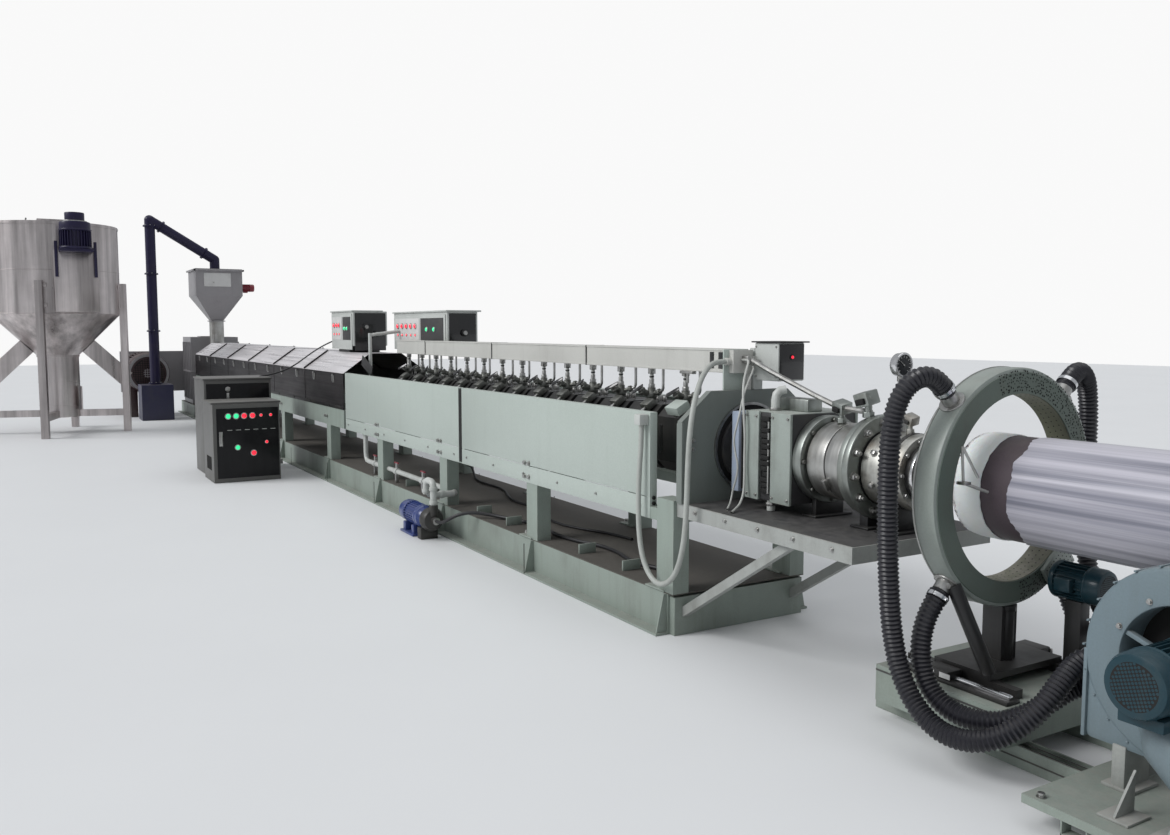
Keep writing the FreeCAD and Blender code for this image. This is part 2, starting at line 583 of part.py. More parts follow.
def blower():
    base = "floor_rail_high + foot_wide / 3"
    drum = rod("Y", ("blower_at", "-volute_face", "blower_height"), "volute_radius", "volute_wide")
    outlet = box(("blower_at - volute_radius", "-volute_face", "blower_height - volute_radius"), "volute_radius",
                 "volute_wide", "outlet_high")
    foot = box(("blower_at - foot_long / 2", "-volute_face + foot_wide / 4", base), "foot_long",
               "volute_wide - foot_wide / 2", f"blower_height - volute_radius / 2 - ({base})")
    recess = rod("Y", ("blower_at", "-volute_face", "blower_height"), "volute_radius - volute_mouth",
                 "volute_mouth / 3")
    node("blower_volute", cut(fuse(drum, outlet, foot), recess))
    back = "-volute_face + volute_mouth / 3"
    motor = rod("Y", ("blower_at", f"{back} - motor_long - volute_mouth / 3", "blower_height"), "motor_radius",
                "motor_long + volute_mouth / 3")
    stool = box(("blower_at - motor_radius", f"{back} - motor_long", base), "2 * motor_radius",
                "motor_long - volute_mouth", f"blower_height - motor_radius / 2 - ({base})")
    lift = rod("X", ("lift_motor_at", "lift_motor_offset", "lift_motor_height"), "lift_motor_radius",
               "lift_motor_long")
    seat = "floor_rail_high + trolley_high"
    post = box(("trolley_at + trolley_long - lift_post", "lift_motor_offset - lift_post", seat), "lift_post",
               "2 * lift_post", f"lift_motor_height - ({seat})")
    node("blower_motor", group([fuse(motor, stool), fuse(lift, post)]))
    face = "blower_at - volute_radius"
    back = "-volute_face + volute_wide"
    can = box((face, back, "manifold_low"), "manifold_long", "manifold_wide", "manifold_high")
    inlets = [
        rod("X", (f"{face} - stub_long", f"{back} + inlet_edge - stub_sink * 2 + {column} * inlet_pitch",
                  f"manifold_low + inlet_edge + {level} * inlet_pitch"), "stub_radius", "stub_long")
        for column, level in itertools.product((0, 1), (0, 1))
    ]
    node("air_manifold", fuse(can, *inlets))


def cords():
    """The air hoses, the conduit, and the cables and the water hose, which hang or lie between their ends."""
    hose = size("hose_radius")
    route_tube("hose_front_upper", hose, [
        (1665, -352.9, 1358.4), (1665, -400.3, 1409.3), (1654, -466, 1430), (1636, -526, 1400),
        (1618, -563, 1332), (1607, -580, 1232), (1600, -582, 1080), (1597, -575, 870), (1600, -564, 650),
        (1616, -555, 450), (1662, -550, 296), (1752, -548, 190), (1866, -542, 144), (1984, -514, 156),
        (2074, -456, 214), (2122, -366, 300), (2128, -266, 388), (2134, -190, 442), (2166, -151, 455),
        (2205, -151, 455),
    ])
    route_tube("hose_front_lower", hose, [
        (1665, -352.9, 601.6), (1665, -391.5, 560.2), (1662, -430, 500), (1664, -454, 420),
        (1682, -466, 330), (1730, -466, 250), (1800, -456, 205), (1890, -438, 192), (1978, -404, 204),
        (2036, -344, 234), (2072, -266, 282), (2106, -192, 334), (2155, -151, 355), (2205, -151, 355),
    ])
    route_tube("hose_rear_upper", hose, [
        (1665, 352.9, 1358.4), (1665, 400.3, 1409.3), (1656, 466, 1430), (1644, 528, 1396),
        (1634, 564, 1324), (1630, 580, 1220), (1629, 582, 1070), (1632, 578, 880), (1646, 568, 690),
        (1686, 550, 556), (1752, 516, 460), (1846, 452, 410), (1944, 366, 398), (2030, 262, 406),
        (2080, 142, 428), (2102, 34, 449), (2126, -34, 455), (2162, -51, 455), (2205, -51, 455),
    ])
    route_tube("hose_rear_lower", hose, [
        (1665, 352.9, 601.6), (1665, 391.5, 560.2), (1668, 426, 500), (1684, 440, 430), (1722, 438, 364),
        (1784, 420, 318), (1864, 388, 294), (1950, 334, 288), (2020, 244, 296), (2062, 140, 314),
        (2086, 40, 336), (2116, -30, 351), (2158, -51, 355), (2205, -51, 355),
    ])
    route_tube("conduit_loop", size("conduit_radius"), [
        (70, -145, 1430), (70, -200, 1430), (88, -262, 1412), (118, -326, 1366), (154, -388, 1292),
        (188, -440, 1196), (210, -474, 1070), (220, -490, 920), (222, -496, 740), (214, -500, 580),
        (188, -503, 452), (138, -505, 352), (64, -506, 290), (-22, -506, 272), (-106, -505, 312),
        (-170, -503, 398), (-204, -500, 520), (-216, -497, 680), (-216, -491, 850), (-210, -483, 1000),
        (-210, -483, 1090),
    ])
    route_tube("block_cable", size("cable_radius"), [
        (100.4, -60, 1440), (142, -60, 1440), (192, -88, 1434), (240, -142, 1398), (288, -200, 1338),
        (330, -236, 1262), (350, -246, 1172), (356, -241, 1070), (350, -238, 970), (354, -240, 872),
        (364, -250, 790), (376, -282, 736), (398, -334, 716), (436, -384, 712),
    ])
    route_tube("loop_cable", size("loop_radius"), [
        (100.4, -20, 1410), (146, -20, 1410), (200, -62, 1394), (256, -140, 1340), (300, -212, 1264),
        (318, -244, 1184), (304, -253, 1116), (284, -255, 1052), (294, -253, 986), (316, -249, 918),
        (306, -252, 852), (286, -257, 796), (292, -272, 744), (318, -306, 719), (356, -348, 712),
    ])
    route_tube("deck_hose", size("deck_hose_radius"), [
        (-2729.6, -650, 160), (-2650, -650, 160), (-2564, -634, 196), (-2496, -584, 242),
        (-2436, -506, 264), (-2366, -416, 256), (-2276, -336, 240), (-2130, -270, 234.4),
        (-1950, -226, 234.4), (-1740, -236, 234.4), (-1530, -280, 234.4), (-1310, -254, 234.4),
        (-1100, -186, 234.4), (-880, -196, 234.4), (-670, -258, 234.4), (-480, -240, 234.4),
        (-330, -176, 234.4),
    ])
    route_tube("deck_cable", size("deck_cable_radius"), [
        (-4529.6, 392, 300), (-4446, 392, 300), (-4350, 368, 258), (-4226, 326, 234), (-4050, 268, 231.5),
        (-3830, 238, 231.5), (-3590, 262, 231.5), (-3350, 222, 231.5), (-3110, 126, 231.5),
        (-2860, 62, 231.5), (-2610, 84, 231.5), (-2370, 36, 231.5), (-2120, -44, 231.5),
        (-1880, -76, 231.5), (-1640, -24, 231.5), (-1400, 74, 231.5), (-1180, 92, 231.5),
    ])
    route_tube("cover_cable", size("cover_cable_radius"), [
        (-7000.4, -120, 1480), (-7062, -120, 1480), (-7132, -150, 1458), (-7202, -204, 1424),
        (-7268, -270, 1378), (-7328, -340, 1322), (-7380, -412, 1260), (-7424, -484, 1200),
        (-7458, -558, 1152), (-7482, -636, 1116), (-7498, -718, 1090), (-7506, -804, 1070),
        (-7510, -890, 1058.5),
    ])


def hopper():
    def shell(wall):
        wide = f"hopper_half - {wall}"
        neck = f"hopper_neck - {wall}"
        spot = (f"-hopper_at - ({wide})", f"-({wide})", "hopper_knee")
        straight = box(spot, f"2 * ({wide})", f"2 * ({wide})", "hopper_high - hopper_knee")
        funnel = doc.addObject("Part::Wedge", "funnel")
        bind(funnel, Xmin=f"-({neck})", Xmax=neck, Zmin=f"-({neck})", Zmax=neck, Ymin="hopper_low",
             Ymax="hopper_knee", X2min=f"-({wide})", X2max=wide, Z2min=f"-({wide})", Z2max=wide)
        funnel.Placement.Rotation = FreeCAD.Rotation(FreeCAD.Vector(1, 0, 0), 90)
        return fuse(straight, place(funnel, ("-hopper_at", "0", "0")))

    node("hopper", cut(shell("0"), shell("hopper_wall")))
    node("hopper_lid", box(("-hopper_at - hopper_half", "-hopper_half", "hopper_high"), "2 * hopper_half",
                           "2 * hopper_half", "lid_thick"))
    node("hopper_motor", rod("Y", ("-hopper_at + hopper_half / 2", "hopper_half", "hopper_motor_height"),
                             "hopper_motor_radius", "hopper_motor_long"))
    housing = rod("X", (f"{BARREL_START} - feed_long", "0", "axis_height"), "feed_radius", "feed_long")
    throat = rod("Z", ("-hopper_at", "0", "axis_height"), "throat_radius", "hopper_low - axis_height")
    node("feed_housing", fuse(housing, throat))


def drive():
    end = f"{BARREL_START} - feed_long"
    case = box((f"{end} - gearbox_long", "-gearbox_half", DECK_TOP), "gearbox_long", "2 * gearbox_half",
               f"gearbox_high - ({DECK_TOP})")
    spot = (f"{end} - gearbox_long - drive_foot", "-drive_offset - drive_radius", "drive_height - drive_radius")
    guard = box(spot, "drive_foot", "drive_offset + drive_radius + gearbox_half", "drive_radius * 2")
    node("gearbox", fuse(case, guard))
    motor = rod("X", (f"{end} - gearbox_long", "-drive_offset", "drive_height"), "drive_radius", "drive_long")
    foot = box((f"{end} - gearbox_long + drive_foot", "-drive_offset - drive_radius / 2", "0"),
               "drive_long - 2 * drive_foot", "drive_radius", "drive_height - drive_radius / 2")
    node("drive_motor", fuse(motor, foot))


def silo():
    spot = ("-silo_at", "-silo_offset", "0")
    node("silo_shell", turned([
        ("silo_tube", "silo_cone_end"), ("silo_radius", "silo_knee"), ("silo_radius", "silo_top"),
        ("silo_radius - silo_wall", "silo_top"), ("silo_radius - silo_wall", "silo_knee"),
        ("silo_tube - silo_wall", "silo_cone_end"),
    ], spot, "V_Axis"))
    disc = rod("Z", ("-silo_at", "-silo_offset", "silo_top"), "silo_radius", "silo_roof")
    hatch = box(("-silo_at - silo_hatch / 2", "-silo_offset - silo_hatch / 2", "silo_top + silo_roof"),
                "silo_hatch", "silo_hatch", "silo_hatch_high")
    node("silo_roof", fuse(disc, hatch))
    node("silo_tube", turned([
        ("0", "silo_tube_low"), ("silo_tube", "silo_tube_low"), ("silo_tube", "silo_cone_end"),
        ("silo_tube - silo_wall", "silo_cone_end"), ("silo_tube - silo_wall", "silo_tube_low + silo_wall"),
        ("0", "silo_tube_low + silo_wall"),
    ], spot, "V_Axis"))
    legs = []
    for number in range(4):
        angle = f"(90 * {number} - silo_leg_angle)"
        ring = "(silo_radius + silo_leg / 2)"
        leg = doc.addObject("Part::Box", "leg")
        bind(leg, Length="silo_leg", Width="silo_leg", Height="silo_leg_high")
        turn = 90 * number - size("silo_leg_angle")
        leg.Placement.Rotation = FreeCAD.Rotation(FreeCAD.Vector(0, 0, 1), turn)
        legs.append(place(leg, (
            f"-silo_at + silo_radius * cos({angle}) + silo_leg / 2 * sin({angle})",
            f"-silo_offset + silo_radius * sin({angle}) - silo_leg / 2 * cos({angle})",
            "0",
        )))
        brace = bind(doc.addObject("Part::Box", "brace"), Length=f"{ring} - silo_tube", Width="silo_leg",
                     Height="silo_leg")
        brace.Placement.Rotation = FreeCAD.Rotation(FreeCAD.Vector(0, 0, 1), turn)
        legs.append(place(brace, (
            f"-silo_at + silo_tube * cos({angle}) + silo_leg / 2 * sin({angle})",
            f"-silo_offset + silo_tube * sin({angle}) - silo_leg / 2 * cos({angle})",
            "silo_tube_low",
        )))
    node("silo_frame", group([fuse(leg, brace) for leg, brace in zip(legs[::2], legs[1::2])]))
    slope = "(silo_knee - silo_cone_end) / (silo_radius - silo_tube)"
    chutes = []
    for side in SIDES:
        root = f"silo_cone_end + (chute_root - silo_tube) * {slope}"
        upper = f"silo_cone_end + (chute_root + chute_deep - silo_tube) * {slope}"
        outline = [
            ("chute_root", root), ("chute_root + chute_deep", upper),
            ("chute_root + chute_deep + chute_reach", f"{upper} - chute_reach"),
            ("chute_root + chute_reach", f"{root} - chute_reach"),
        ]
        chutes.append(pad("YZ_Plane", across(side, outline), "chute_wide",
                          ("-silo_at - chute_wide / 2", "-silo_offset", "0")))
    node("silo_chutes", group(chutes))
    centre = "-silo_offset + silo_motor_shift"
    front = "-silo_at + silo_radius + silo_box_out"
    case = box(("-silo_at + silo_radius / 2", f"{centre} - silo_box_wide / 2", "silo_box_low"),
               "silo_radius / 2 + silo_box_out", "silo_box_wide", "silo_box_high")
    body = rod("Z", ("-silo_at", "-silo_offset", "silo_box_low"), "silo_radius", "silo_box_high")
    shelf = box((front, f"{centre} - silo_motor", "silo_box_low + silo_box_high - silo_shelf"),
                "2 * silo_motor", "2 * silo_motor", "silo_shelf")
    seat = "silo_box_low + silo_box_high"
    motor = rod("Z", (f"{front} + silo_motor", centre, seat), "silo_motor", "silo_motor_high")
    cap = rod("Z", (f"{front} + silo_motor", centre, f"{seat} + silo_motor_high"), "silo_cap", "silo_cap")
    node("silo_motor", fuse(cut(case, body), shelf, motor, cap))


def feeder():
    bottom = "bin_high"
    upright = rod("Z", ("-duct_at", "-duct_offset", bottom), "duct_radius", f"duct_top - {bottom}")
    top = FreeCAD.Vector(-size("duct_at"), -size("duct_offset"), size("duct_top"))
    mouth = FreeCAD.Vector(-size("hopper_at"), 0, size("duct_end"))
    arm = bind(doc.addObject("Part::Cylinder", "arm"), Radius="duct_radius")
    arm.Height = (mouth - top).Length
    arm.Placement = FreeCAD.Placement(top, FreeCAD.Rotation(FreeCAD.Vector(0, 0, 1), mouth - top))
    elbows = []
    for spot in (("-duct_at", "-duct_offset", "duct_top"), ("-hopper_at", "0", "duct_end")):
        elbows.append(place(bind(doc.addObject("Part::Sphere", "elbow"), Radius="duct_radius"), spot))
    spout = rod("Z", ("-hopper_at", "0", "hopper_high + lid_thick"), "duct_radius",
                "duct_end - hopper_high - lid_thick")
    node("feeder_duct", fuse(upright, arm, *elbows, spout))
    node("feeder_bin", box(("-duct_at - bin_half", "-duct_offset - bin_half", "0"), "2 * bin_half",
                           "2 * bin_half", bottom))


def cabinets():
    front = "-cabinet_at"
    left = "-cabinet_low - cabinet_wide"
    depth = "cabinet_deep - door_thick - door_gap"
    outer = box((f"{front} - cabinet_deep", left, "0"), depth, "cabinet_wide", "cabinet_high")
    inner = box((f"{front} - cabinet_deep + cabinet_wall", f"{left} + cabinet_wall", "cabinet_wall"), depth,
                "cabinet_wide - 2 * cabinet_wall", "cabinet_high - 2 * cabinet_wall")
    pivot = "-cabinet_low + hinge_out"
    lugs = []
    knuckles = []
    for level in ("cabinet_high / 5", "cabinet_high * 4 / 5"):
        lugs.append(box((f"{front} - lug_long", "-cabinet_low", level), "lug_long + hinge_radius / 2",
                        "hinge_radius + hinge_out", "lug_thick"))
        lugs.append(rod("Z", (front, pivot, level), "hinge_radius / 2", "pin_long"))
        start = f"{level} + lug_thick + seat_gap"
        knuckle = rod("Z", (front, pivot, start), "hinge_radius", "knuckle_long")
        strap = box((f"{front} - strap_thick", "-cabinet_low - hinge_out", start), "strap_thick",
                    "hinge_out + strap_lap", "knuckle_long")
        bore = rod("Z", (front, pivot, start), "hinge_radius / 2 + pin_play", "knuckle_long")
        knuckles.append(cut(fuse(knuckle, strap), bore))
    node("cabinet_body", fuse(cut(outer, inner), *lugs))
    leaf = box((f"{front} - door_thick", left, "door_gap"), "door_thick", "cabinet_wide - door_gap",
               "cabinet_high - 2 * door_gap")
    node("cabinet_door", fuse(leaf, *knuckles))
    spot = ("-second_cabinet_at - second_cabinet_deep", "-second_cabinet_low - second_cabinet_wide", "0")
    second = box(spot, "second_cabinet_deep", "second_cabinet_wide", "second_cabinet_high")
    upper = box(("-upper_box_at", "-box_deep / 2", "box_low"), "upper_box_long", "box_deep", "box_high")
    stand = box(("-upper_box_at + upper_box_long / 4", "-cover_crown / 2", "cover_top"), "upper_box_long / 2",
                "cover_crown", "box_low - cover_top")
    middle = box(("-middle_box_at", "-trunk_offset + trunk_wide / 2", "trunk_low"), "middle_box_long",
                 "middle_box_deep", "middle_box_high")
    node("control_boxes", group([fuse(upper, stand), middle, second]))


def pump():
    motor = rod("X", ("-pump_at", "-pump_offset", "pump_height"), "pump_radius", "pump_long")
    foot = box(("-pump_at + pump_long / 8", "-pump_offset - pump_radius", "0"), "pump_long * 3 / 4",
               "2 * pump_radius", "pump_height - pump_radius / 2")
    riser = rod("Z", ("-pump_at + pump_long * 0.9", "-pump_offset", "pump_height"), "riser_radius",
                "riser_high")
    node("water_pump", fuse(motor, foot, riser))


def check():
    """Every object has recomputed, and every sub-part is a valid shape."""
    for item in doc.Objects:
        if "Invalid" in item.State or "Error" in item.State:
            raise RuntimeError(f"{item.Name} ({item.Label}): {item.State}")
    for item in NODES:
        if item.Shape.isNull() or not item.Shape.isValid() or not item.Shape.Solids:
            raise RuntimeError(f"{item.Label} has no valid solid")


for build in (skid, frame, panels, barrel, trunk, cover, melt_line, table, air_ring, mandrel, trolley, blower,
              cords, hopper, drive, silo, feeder, cabinets, pump):
    build()
doc.recompute()
check()
os.makedirs("parts", exist_ok=True)
for item in NODES:
    item.Shape.exportStep(f"parts/{item.Label}.step")
    print(item.Label, len(item.Shape.Solids), [round(value) for value in (
        item.Shape.BoundBox.XMin, item.Shape.BoundBox.XMax, item.Shape.BoundBox.YMin, item.Shape.BoundBox.YMax,
        item.Shape.BoundBox.ZMin, item.Shape.BoundBox.ZMax)])
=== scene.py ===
import math
import random

import bmesh
import bpy
from mathutils import Matrix, Vector


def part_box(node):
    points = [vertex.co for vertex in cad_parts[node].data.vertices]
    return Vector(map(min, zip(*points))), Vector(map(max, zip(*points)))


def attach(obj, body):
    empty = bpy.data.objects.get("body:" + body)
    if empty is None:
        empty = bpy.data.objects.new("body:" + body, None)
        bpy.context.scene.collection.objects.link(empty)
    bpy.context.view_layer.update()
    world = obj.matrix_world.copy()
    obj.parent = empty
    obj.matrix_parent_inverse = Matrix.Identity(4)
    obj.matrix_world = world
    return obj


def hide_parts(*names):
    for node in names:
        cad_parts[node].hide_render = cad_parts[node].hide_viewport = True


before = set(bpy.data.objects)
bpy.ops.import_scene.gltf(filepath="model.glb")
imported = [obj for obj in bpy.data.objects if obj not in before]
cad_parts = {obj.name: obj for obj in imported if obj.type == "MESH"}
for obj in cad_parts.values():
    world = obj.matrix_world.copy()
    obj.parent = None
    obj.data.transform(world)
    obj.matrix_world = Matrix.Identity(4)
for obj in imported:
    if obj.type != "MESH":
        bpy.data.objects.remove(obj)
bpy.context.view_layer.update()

bl_info = {
    "name": "Foam Film Extrusion Line",
    "version": (1, 0, 0),
    "blender": (4, 5, 0),
    "location": "3D View > Sidebar > Line",
    "description": "Finishes and fittings of a foam-film extrusion line, built around its fixed frame",
    "category": "Object",
}

LINE = "line"
DOOR = "door"
AXIS_UP = (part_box("barrel")[0].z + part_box("barrel")[1].z) / 2
X_AXIS = Vector((1, 0, 0))
Y_AXIS = Vector((0, 1, 0))
Z_AXIS = Vector((0, 0, 1))
SIDES = (-1, 1)

# The cords' routes: points from one end to the other.
ROUTES = {
    "hose_front_upper": [
        (1.665, -0.3529, 1.3584), (1.665, -0.4003, 1.4093), (1.654, -0.466, 1.43), (1.636, -0.526, 1.4),
        (1.618, -0.563, 1.332), (1.607, -0.58, 1.232), (1.6, -0.582, 1.08), (1.597, -0.575, 0.87),
        (1.6, -0.564, 0.65), (1.616, -0.555, 0.45), (1.662, -0.55, 0.296), (1.752, -0.548, 0.19),
        (1.866, -0.542, 0.144), (1.984, -0.514, 0.156), (2.074, -0.456, 0.214), (2.122, -0.366, 0.3),
        (2.128, -0.266, 0.388), (2.134, -0.19, 0.442), (2.166, -0.151, 0.455), (2.205, -0.151, 0.455),
    ],
    "hose_front_lower": [
        (1.665, -0.3529, 0.6016), (1.665, -0.3915, 0.5602), (1.662, -0.43, 0.5), (1.664, -0.454, 0.42),
        (1.682, -0.466, 0.33), (1.73, -0.466, 0.25), (1.8, -0.456, 0.205), (1.89, -0.438, 0.192),
        (1.978, -0.404, 0.204), (2.036, -0.344, 0.234), (2.072, -0.266, 0.282), (2.106, -0.192, 0.334),
        (2.155, -0.151, 0.355), (2.205, -0.151, 0.355),
    ],
    "hose_rear_upper": [
        (1.665, 0.3529, 1.3584), (1.665, 0.4003, 1.4093), (1.656, 0.466, 1.43), (1.644, 0.528, 1.396),
        (1.634, 0.564, 1.324), (1.63, 0.58, 1.22), (1.629, 0.582, 1.07), (1.632, 0.578, 0.88),
        (1.646, 0.568, 0.69), (1.686, 0.55, 0.556), (1.752, 0.516, 0.46), (1.846, 0.452, 0.41),
        (1.944, 0.366, 0.398), (2.03, 0.262, 0.406), (2.08, 0.142, 0.428), (2.102, 0.034, 0.449),
        (2.126, -0.034, 0.455), (2.162, -0.051, 0.455), (2.205, -0.051, 0.455),
    ],
    "hose_rear_lower": [
        (1.665, 0.3529, 0.6016), (1.665, 0.3915, 0.5602), (1.668, 0.426, 0.5), (1.684, 0.44, 0.43),
        (1.722, 0.438, 0.364), (1.784, 0.42, 0.318), (1.864, 0.388, 0.294), (1.95, 0.334, 0.288),
        (2.02, 0.244, 0.296), (2.062, 0.14, 0.314), (2.086, 0.04, 0.336), (2.116, -0.03, 0.351),
        (2.158, -0.051, 0.355), (2.205, -0.051, 0.355),
    ],
    "conduit_loop": [
        (0.07, -0.145, 1.43), (0.07, -0.2, 1.43), (0.088, -0.262, 1.412), (0.118, -0.326, 1.366),
        (0.154, -0.388, 1.292), (0.188, -0.44, 1.196), (0.21, -0.474, 1.07), (0.22, -0.49, 0.92),
        (0.222, -0.496, 0.74), (0.214, -0.5, 0.58), (0.188, -0.503, 0.452), (0.138, -0.505, 0.352),
        (0.064, -0.506, 0.29), (-0.022, -0.506, 0.272), (-0.106, -0.505, 0.312), (-0.17, -0.503, 0.398),
        (-0.204, -0.5, 0.52), (-0.216, -0.497, 0.68), (-0.216, -0.491, 0.85), (-0.21, -0.483, 1),
        (-0.21, -0.483, 1.09),
    ],
    "block_cable": [
        (0.1004, -0.06, 1.44), (0.142, -0.06, 1.44), (0.192, -0.088, 1.434), (0.24, -0.142, 1.398),
        (0.288, -0.2, 1.338), (0.33, -0.236, 1.262), (0.35, -0.246, 1.172), (0.356, -0.241, 1.07),
        (0.35, -0.238, 0.97), (0.354, -0.24, 0.872), (0.364, -0.25, 0.79), (0.376, -0.282, 0.736),
        (0.398, -0.334, 0.716), (0.436, -0.384, 0.712),
    ],
    "loop_cable": [
        (0.1004, -0.02, 1.41), (0.146, -0.02, 1.41), (0.2, -0.062, 1.394), (0.256, -0.14, 1.34),
        (0.3, -0.212, 1.264), (0.318, -0.244, 1.184), (0.304, -0.253, 1.116), (0.284, -0.255, 1.052),
        (0.294, -0.253, 0.986), (0.316, -0.249, 0.918), (0.306, -0.252, 0.852), (0.286, -0.257, 0.796),
        (0.292, -0.272, 0.744), (0.318, -0.306, 0.719), (0.356, -0.348, 0.712),
    ],
    "deck_hose": [
        (-2.7296, -0.65, 0.16), (-2.65, -0.65, 0.16), (-2.564, -0.634, 0.196), (-2.496, -0.584, 0.242),
        (-2.436, -0.506, 0.264), (-2.366, -0.416, 0.256), (-2.276, -0.336, 0.24), (-2.13, -0.27, 0.2344),
        (-1.95, -0.226, 0.2344), (-1.74, -0.236, 0.2344), (-1.53, -0.28, 0.2344),
        (-1.31, -0.254, 0.2344), (-1.1, -0.186, 0.2344), (-0.88, -0.196, 0.2344),
        (-0.67, -0.258, 0.2344), (-0.48, -0.24, 0.2344), (-0.33, -0.176, 0.2344),
    ],
    "deck_cable": [
        (-4.5296, 0.392, 0.3), (-4.446, 0.392, 0.3), (-4.35, 0.368, 0.258), (-4.226, 0.326, 0.234),
        (-4.05, 0.268, 0.2315), (-3.83, 0.238, 0.2315), (-3.59, 0.262, 0.2315), (-3.35, 0.222, 0.2315),
        (-3.11, 0.126, 0.2315), (-2.86, 0.062, 0.2315), (-2.61, 0.084, 0.2315), (-2.37, 0.036, 0.2315),
        (-2.12, -0.044, 0.2315), (-1.88, -0.076, 0.2315), (-1.64, -0.024, 0.2315), (-1.4, 0.074, 0.2315),
        (-1.18, 0.092, 0.2315),
    ],
    "cover_cable": [
        (-7.0004, -0.12, 1.48), (-7.062, -0.12, 1.48), (-7.132, -0.15, 1.458), (-7.202, -0.204, 1.424),
        (-7.268, -0.27, 1.378), (-7.328, -0.34, 1.322), (-7.38, -0.412, 1.26), (-7.424, -0.484, 1.2),
        (-7.458, -0.558, 1.152), (-7.482, -0.636, 1.116), (-7.498, -0.718, 1.09), (-7.506, -0.804, 1.07),
        (-7.51, -0.89, 1.0585),
    ],
}


class LineColours(bpy.types.PropertyGroup):
    """The paints that a user would change"""

    machine: bpy.props.FloatVectorProperty(
        name="Machine Green", description="Panels, heater block and air ring", subtype="COLOR", min=0, max=1,
        default=(0.42, 0.475, 0.44),
    )
    skid: bpy.props.FloatVectorProperty(
        name="Skid Green", description="Skid, posts, rails and trolleys", subtype="COLOR", min=0, max=1,
        default=(0.27, 0.32, 0.285),
    )
    fan: bpy.props.FloatVectorProperty(
        name="Fan Blue", description="The blower's volute", subtype="COLOR", min=0, max=1,
        default=(0.155, 0.205, 0.23),
    )
    motor: bpy.props.FloatVectorProperty(
        name="Motor Teal", description="The blower and lift motors", subtype="COLOR", min=0, max=1,
        default=(0.009, 0.036, 0.05),
    )
    duct: bpy.props.FloatVectorProperty(
        name="Duct Violet", description="The screw feeder's duct and the silo's motor", subtype="COLOR",
        min=0, max=1, default=(0.015, 0.012, 0.045),
    )
    film: bpy.props.FloatVectorProperty(
        name="Film Lilac", description="The foam film on the mandrel", subtype="COLOR", min=0, max=1,
        default=(0.40, 0.39, 0.44),
    )


class LineSizes(bpy.types.PropertyGroup):
    """The sizes of the fittings"""

    hose: bpy.props.FloatProperty(
        name="Hose Diameter", description="Outer diameter of the air hoses", default=0.08, unit="LENGTH",
        min=0.04, max=0.12,
    )
    rib_pitch: bpy.props.FloatProperty(
        name="Rib Pitch", description="From one rib of a hose to the next", default=0.017, unit="LENGTH",
        min=0.006, max=0.03,
    )
    bolt: bpy.props.FloatProperty(
        name="Flange Bolt", description="Width across a flange bolt's head", default=0.03, unit="LENGTH",
        min=0.01, max=0.06,
    )
    air_hole: bpy.props.FloatProperty(
        name="Air Hole", description="Diameter of the air ring's holes", default=0.008, unit="LENGTH",
        min=0.003, max=0.015,
    )
    edge: bpy.props.FloatProperty(
        name="Edge Rounding", description="Rounding of cast and folded edges", default=0.006, unit="LENGTH",
        min=0.001, max=0.02,
    )


def colours():
    return bpy.context.scene.line_colours


def sizes():
    return bpy.context.scene.line_sizes


# ---- modelling ----


def aim(spot, direction=Z_AXIS, roll=0.0):
    """The matrix that takes the origin to a spot and +Z to a direction."""
    turn = Vector(direction).to_track_quat("Z", "Y").to_matrix().to_4x4()
    return Matrix.Translation(spot) @ turn @ Matrix.Rotation(roll, 4, "Z")


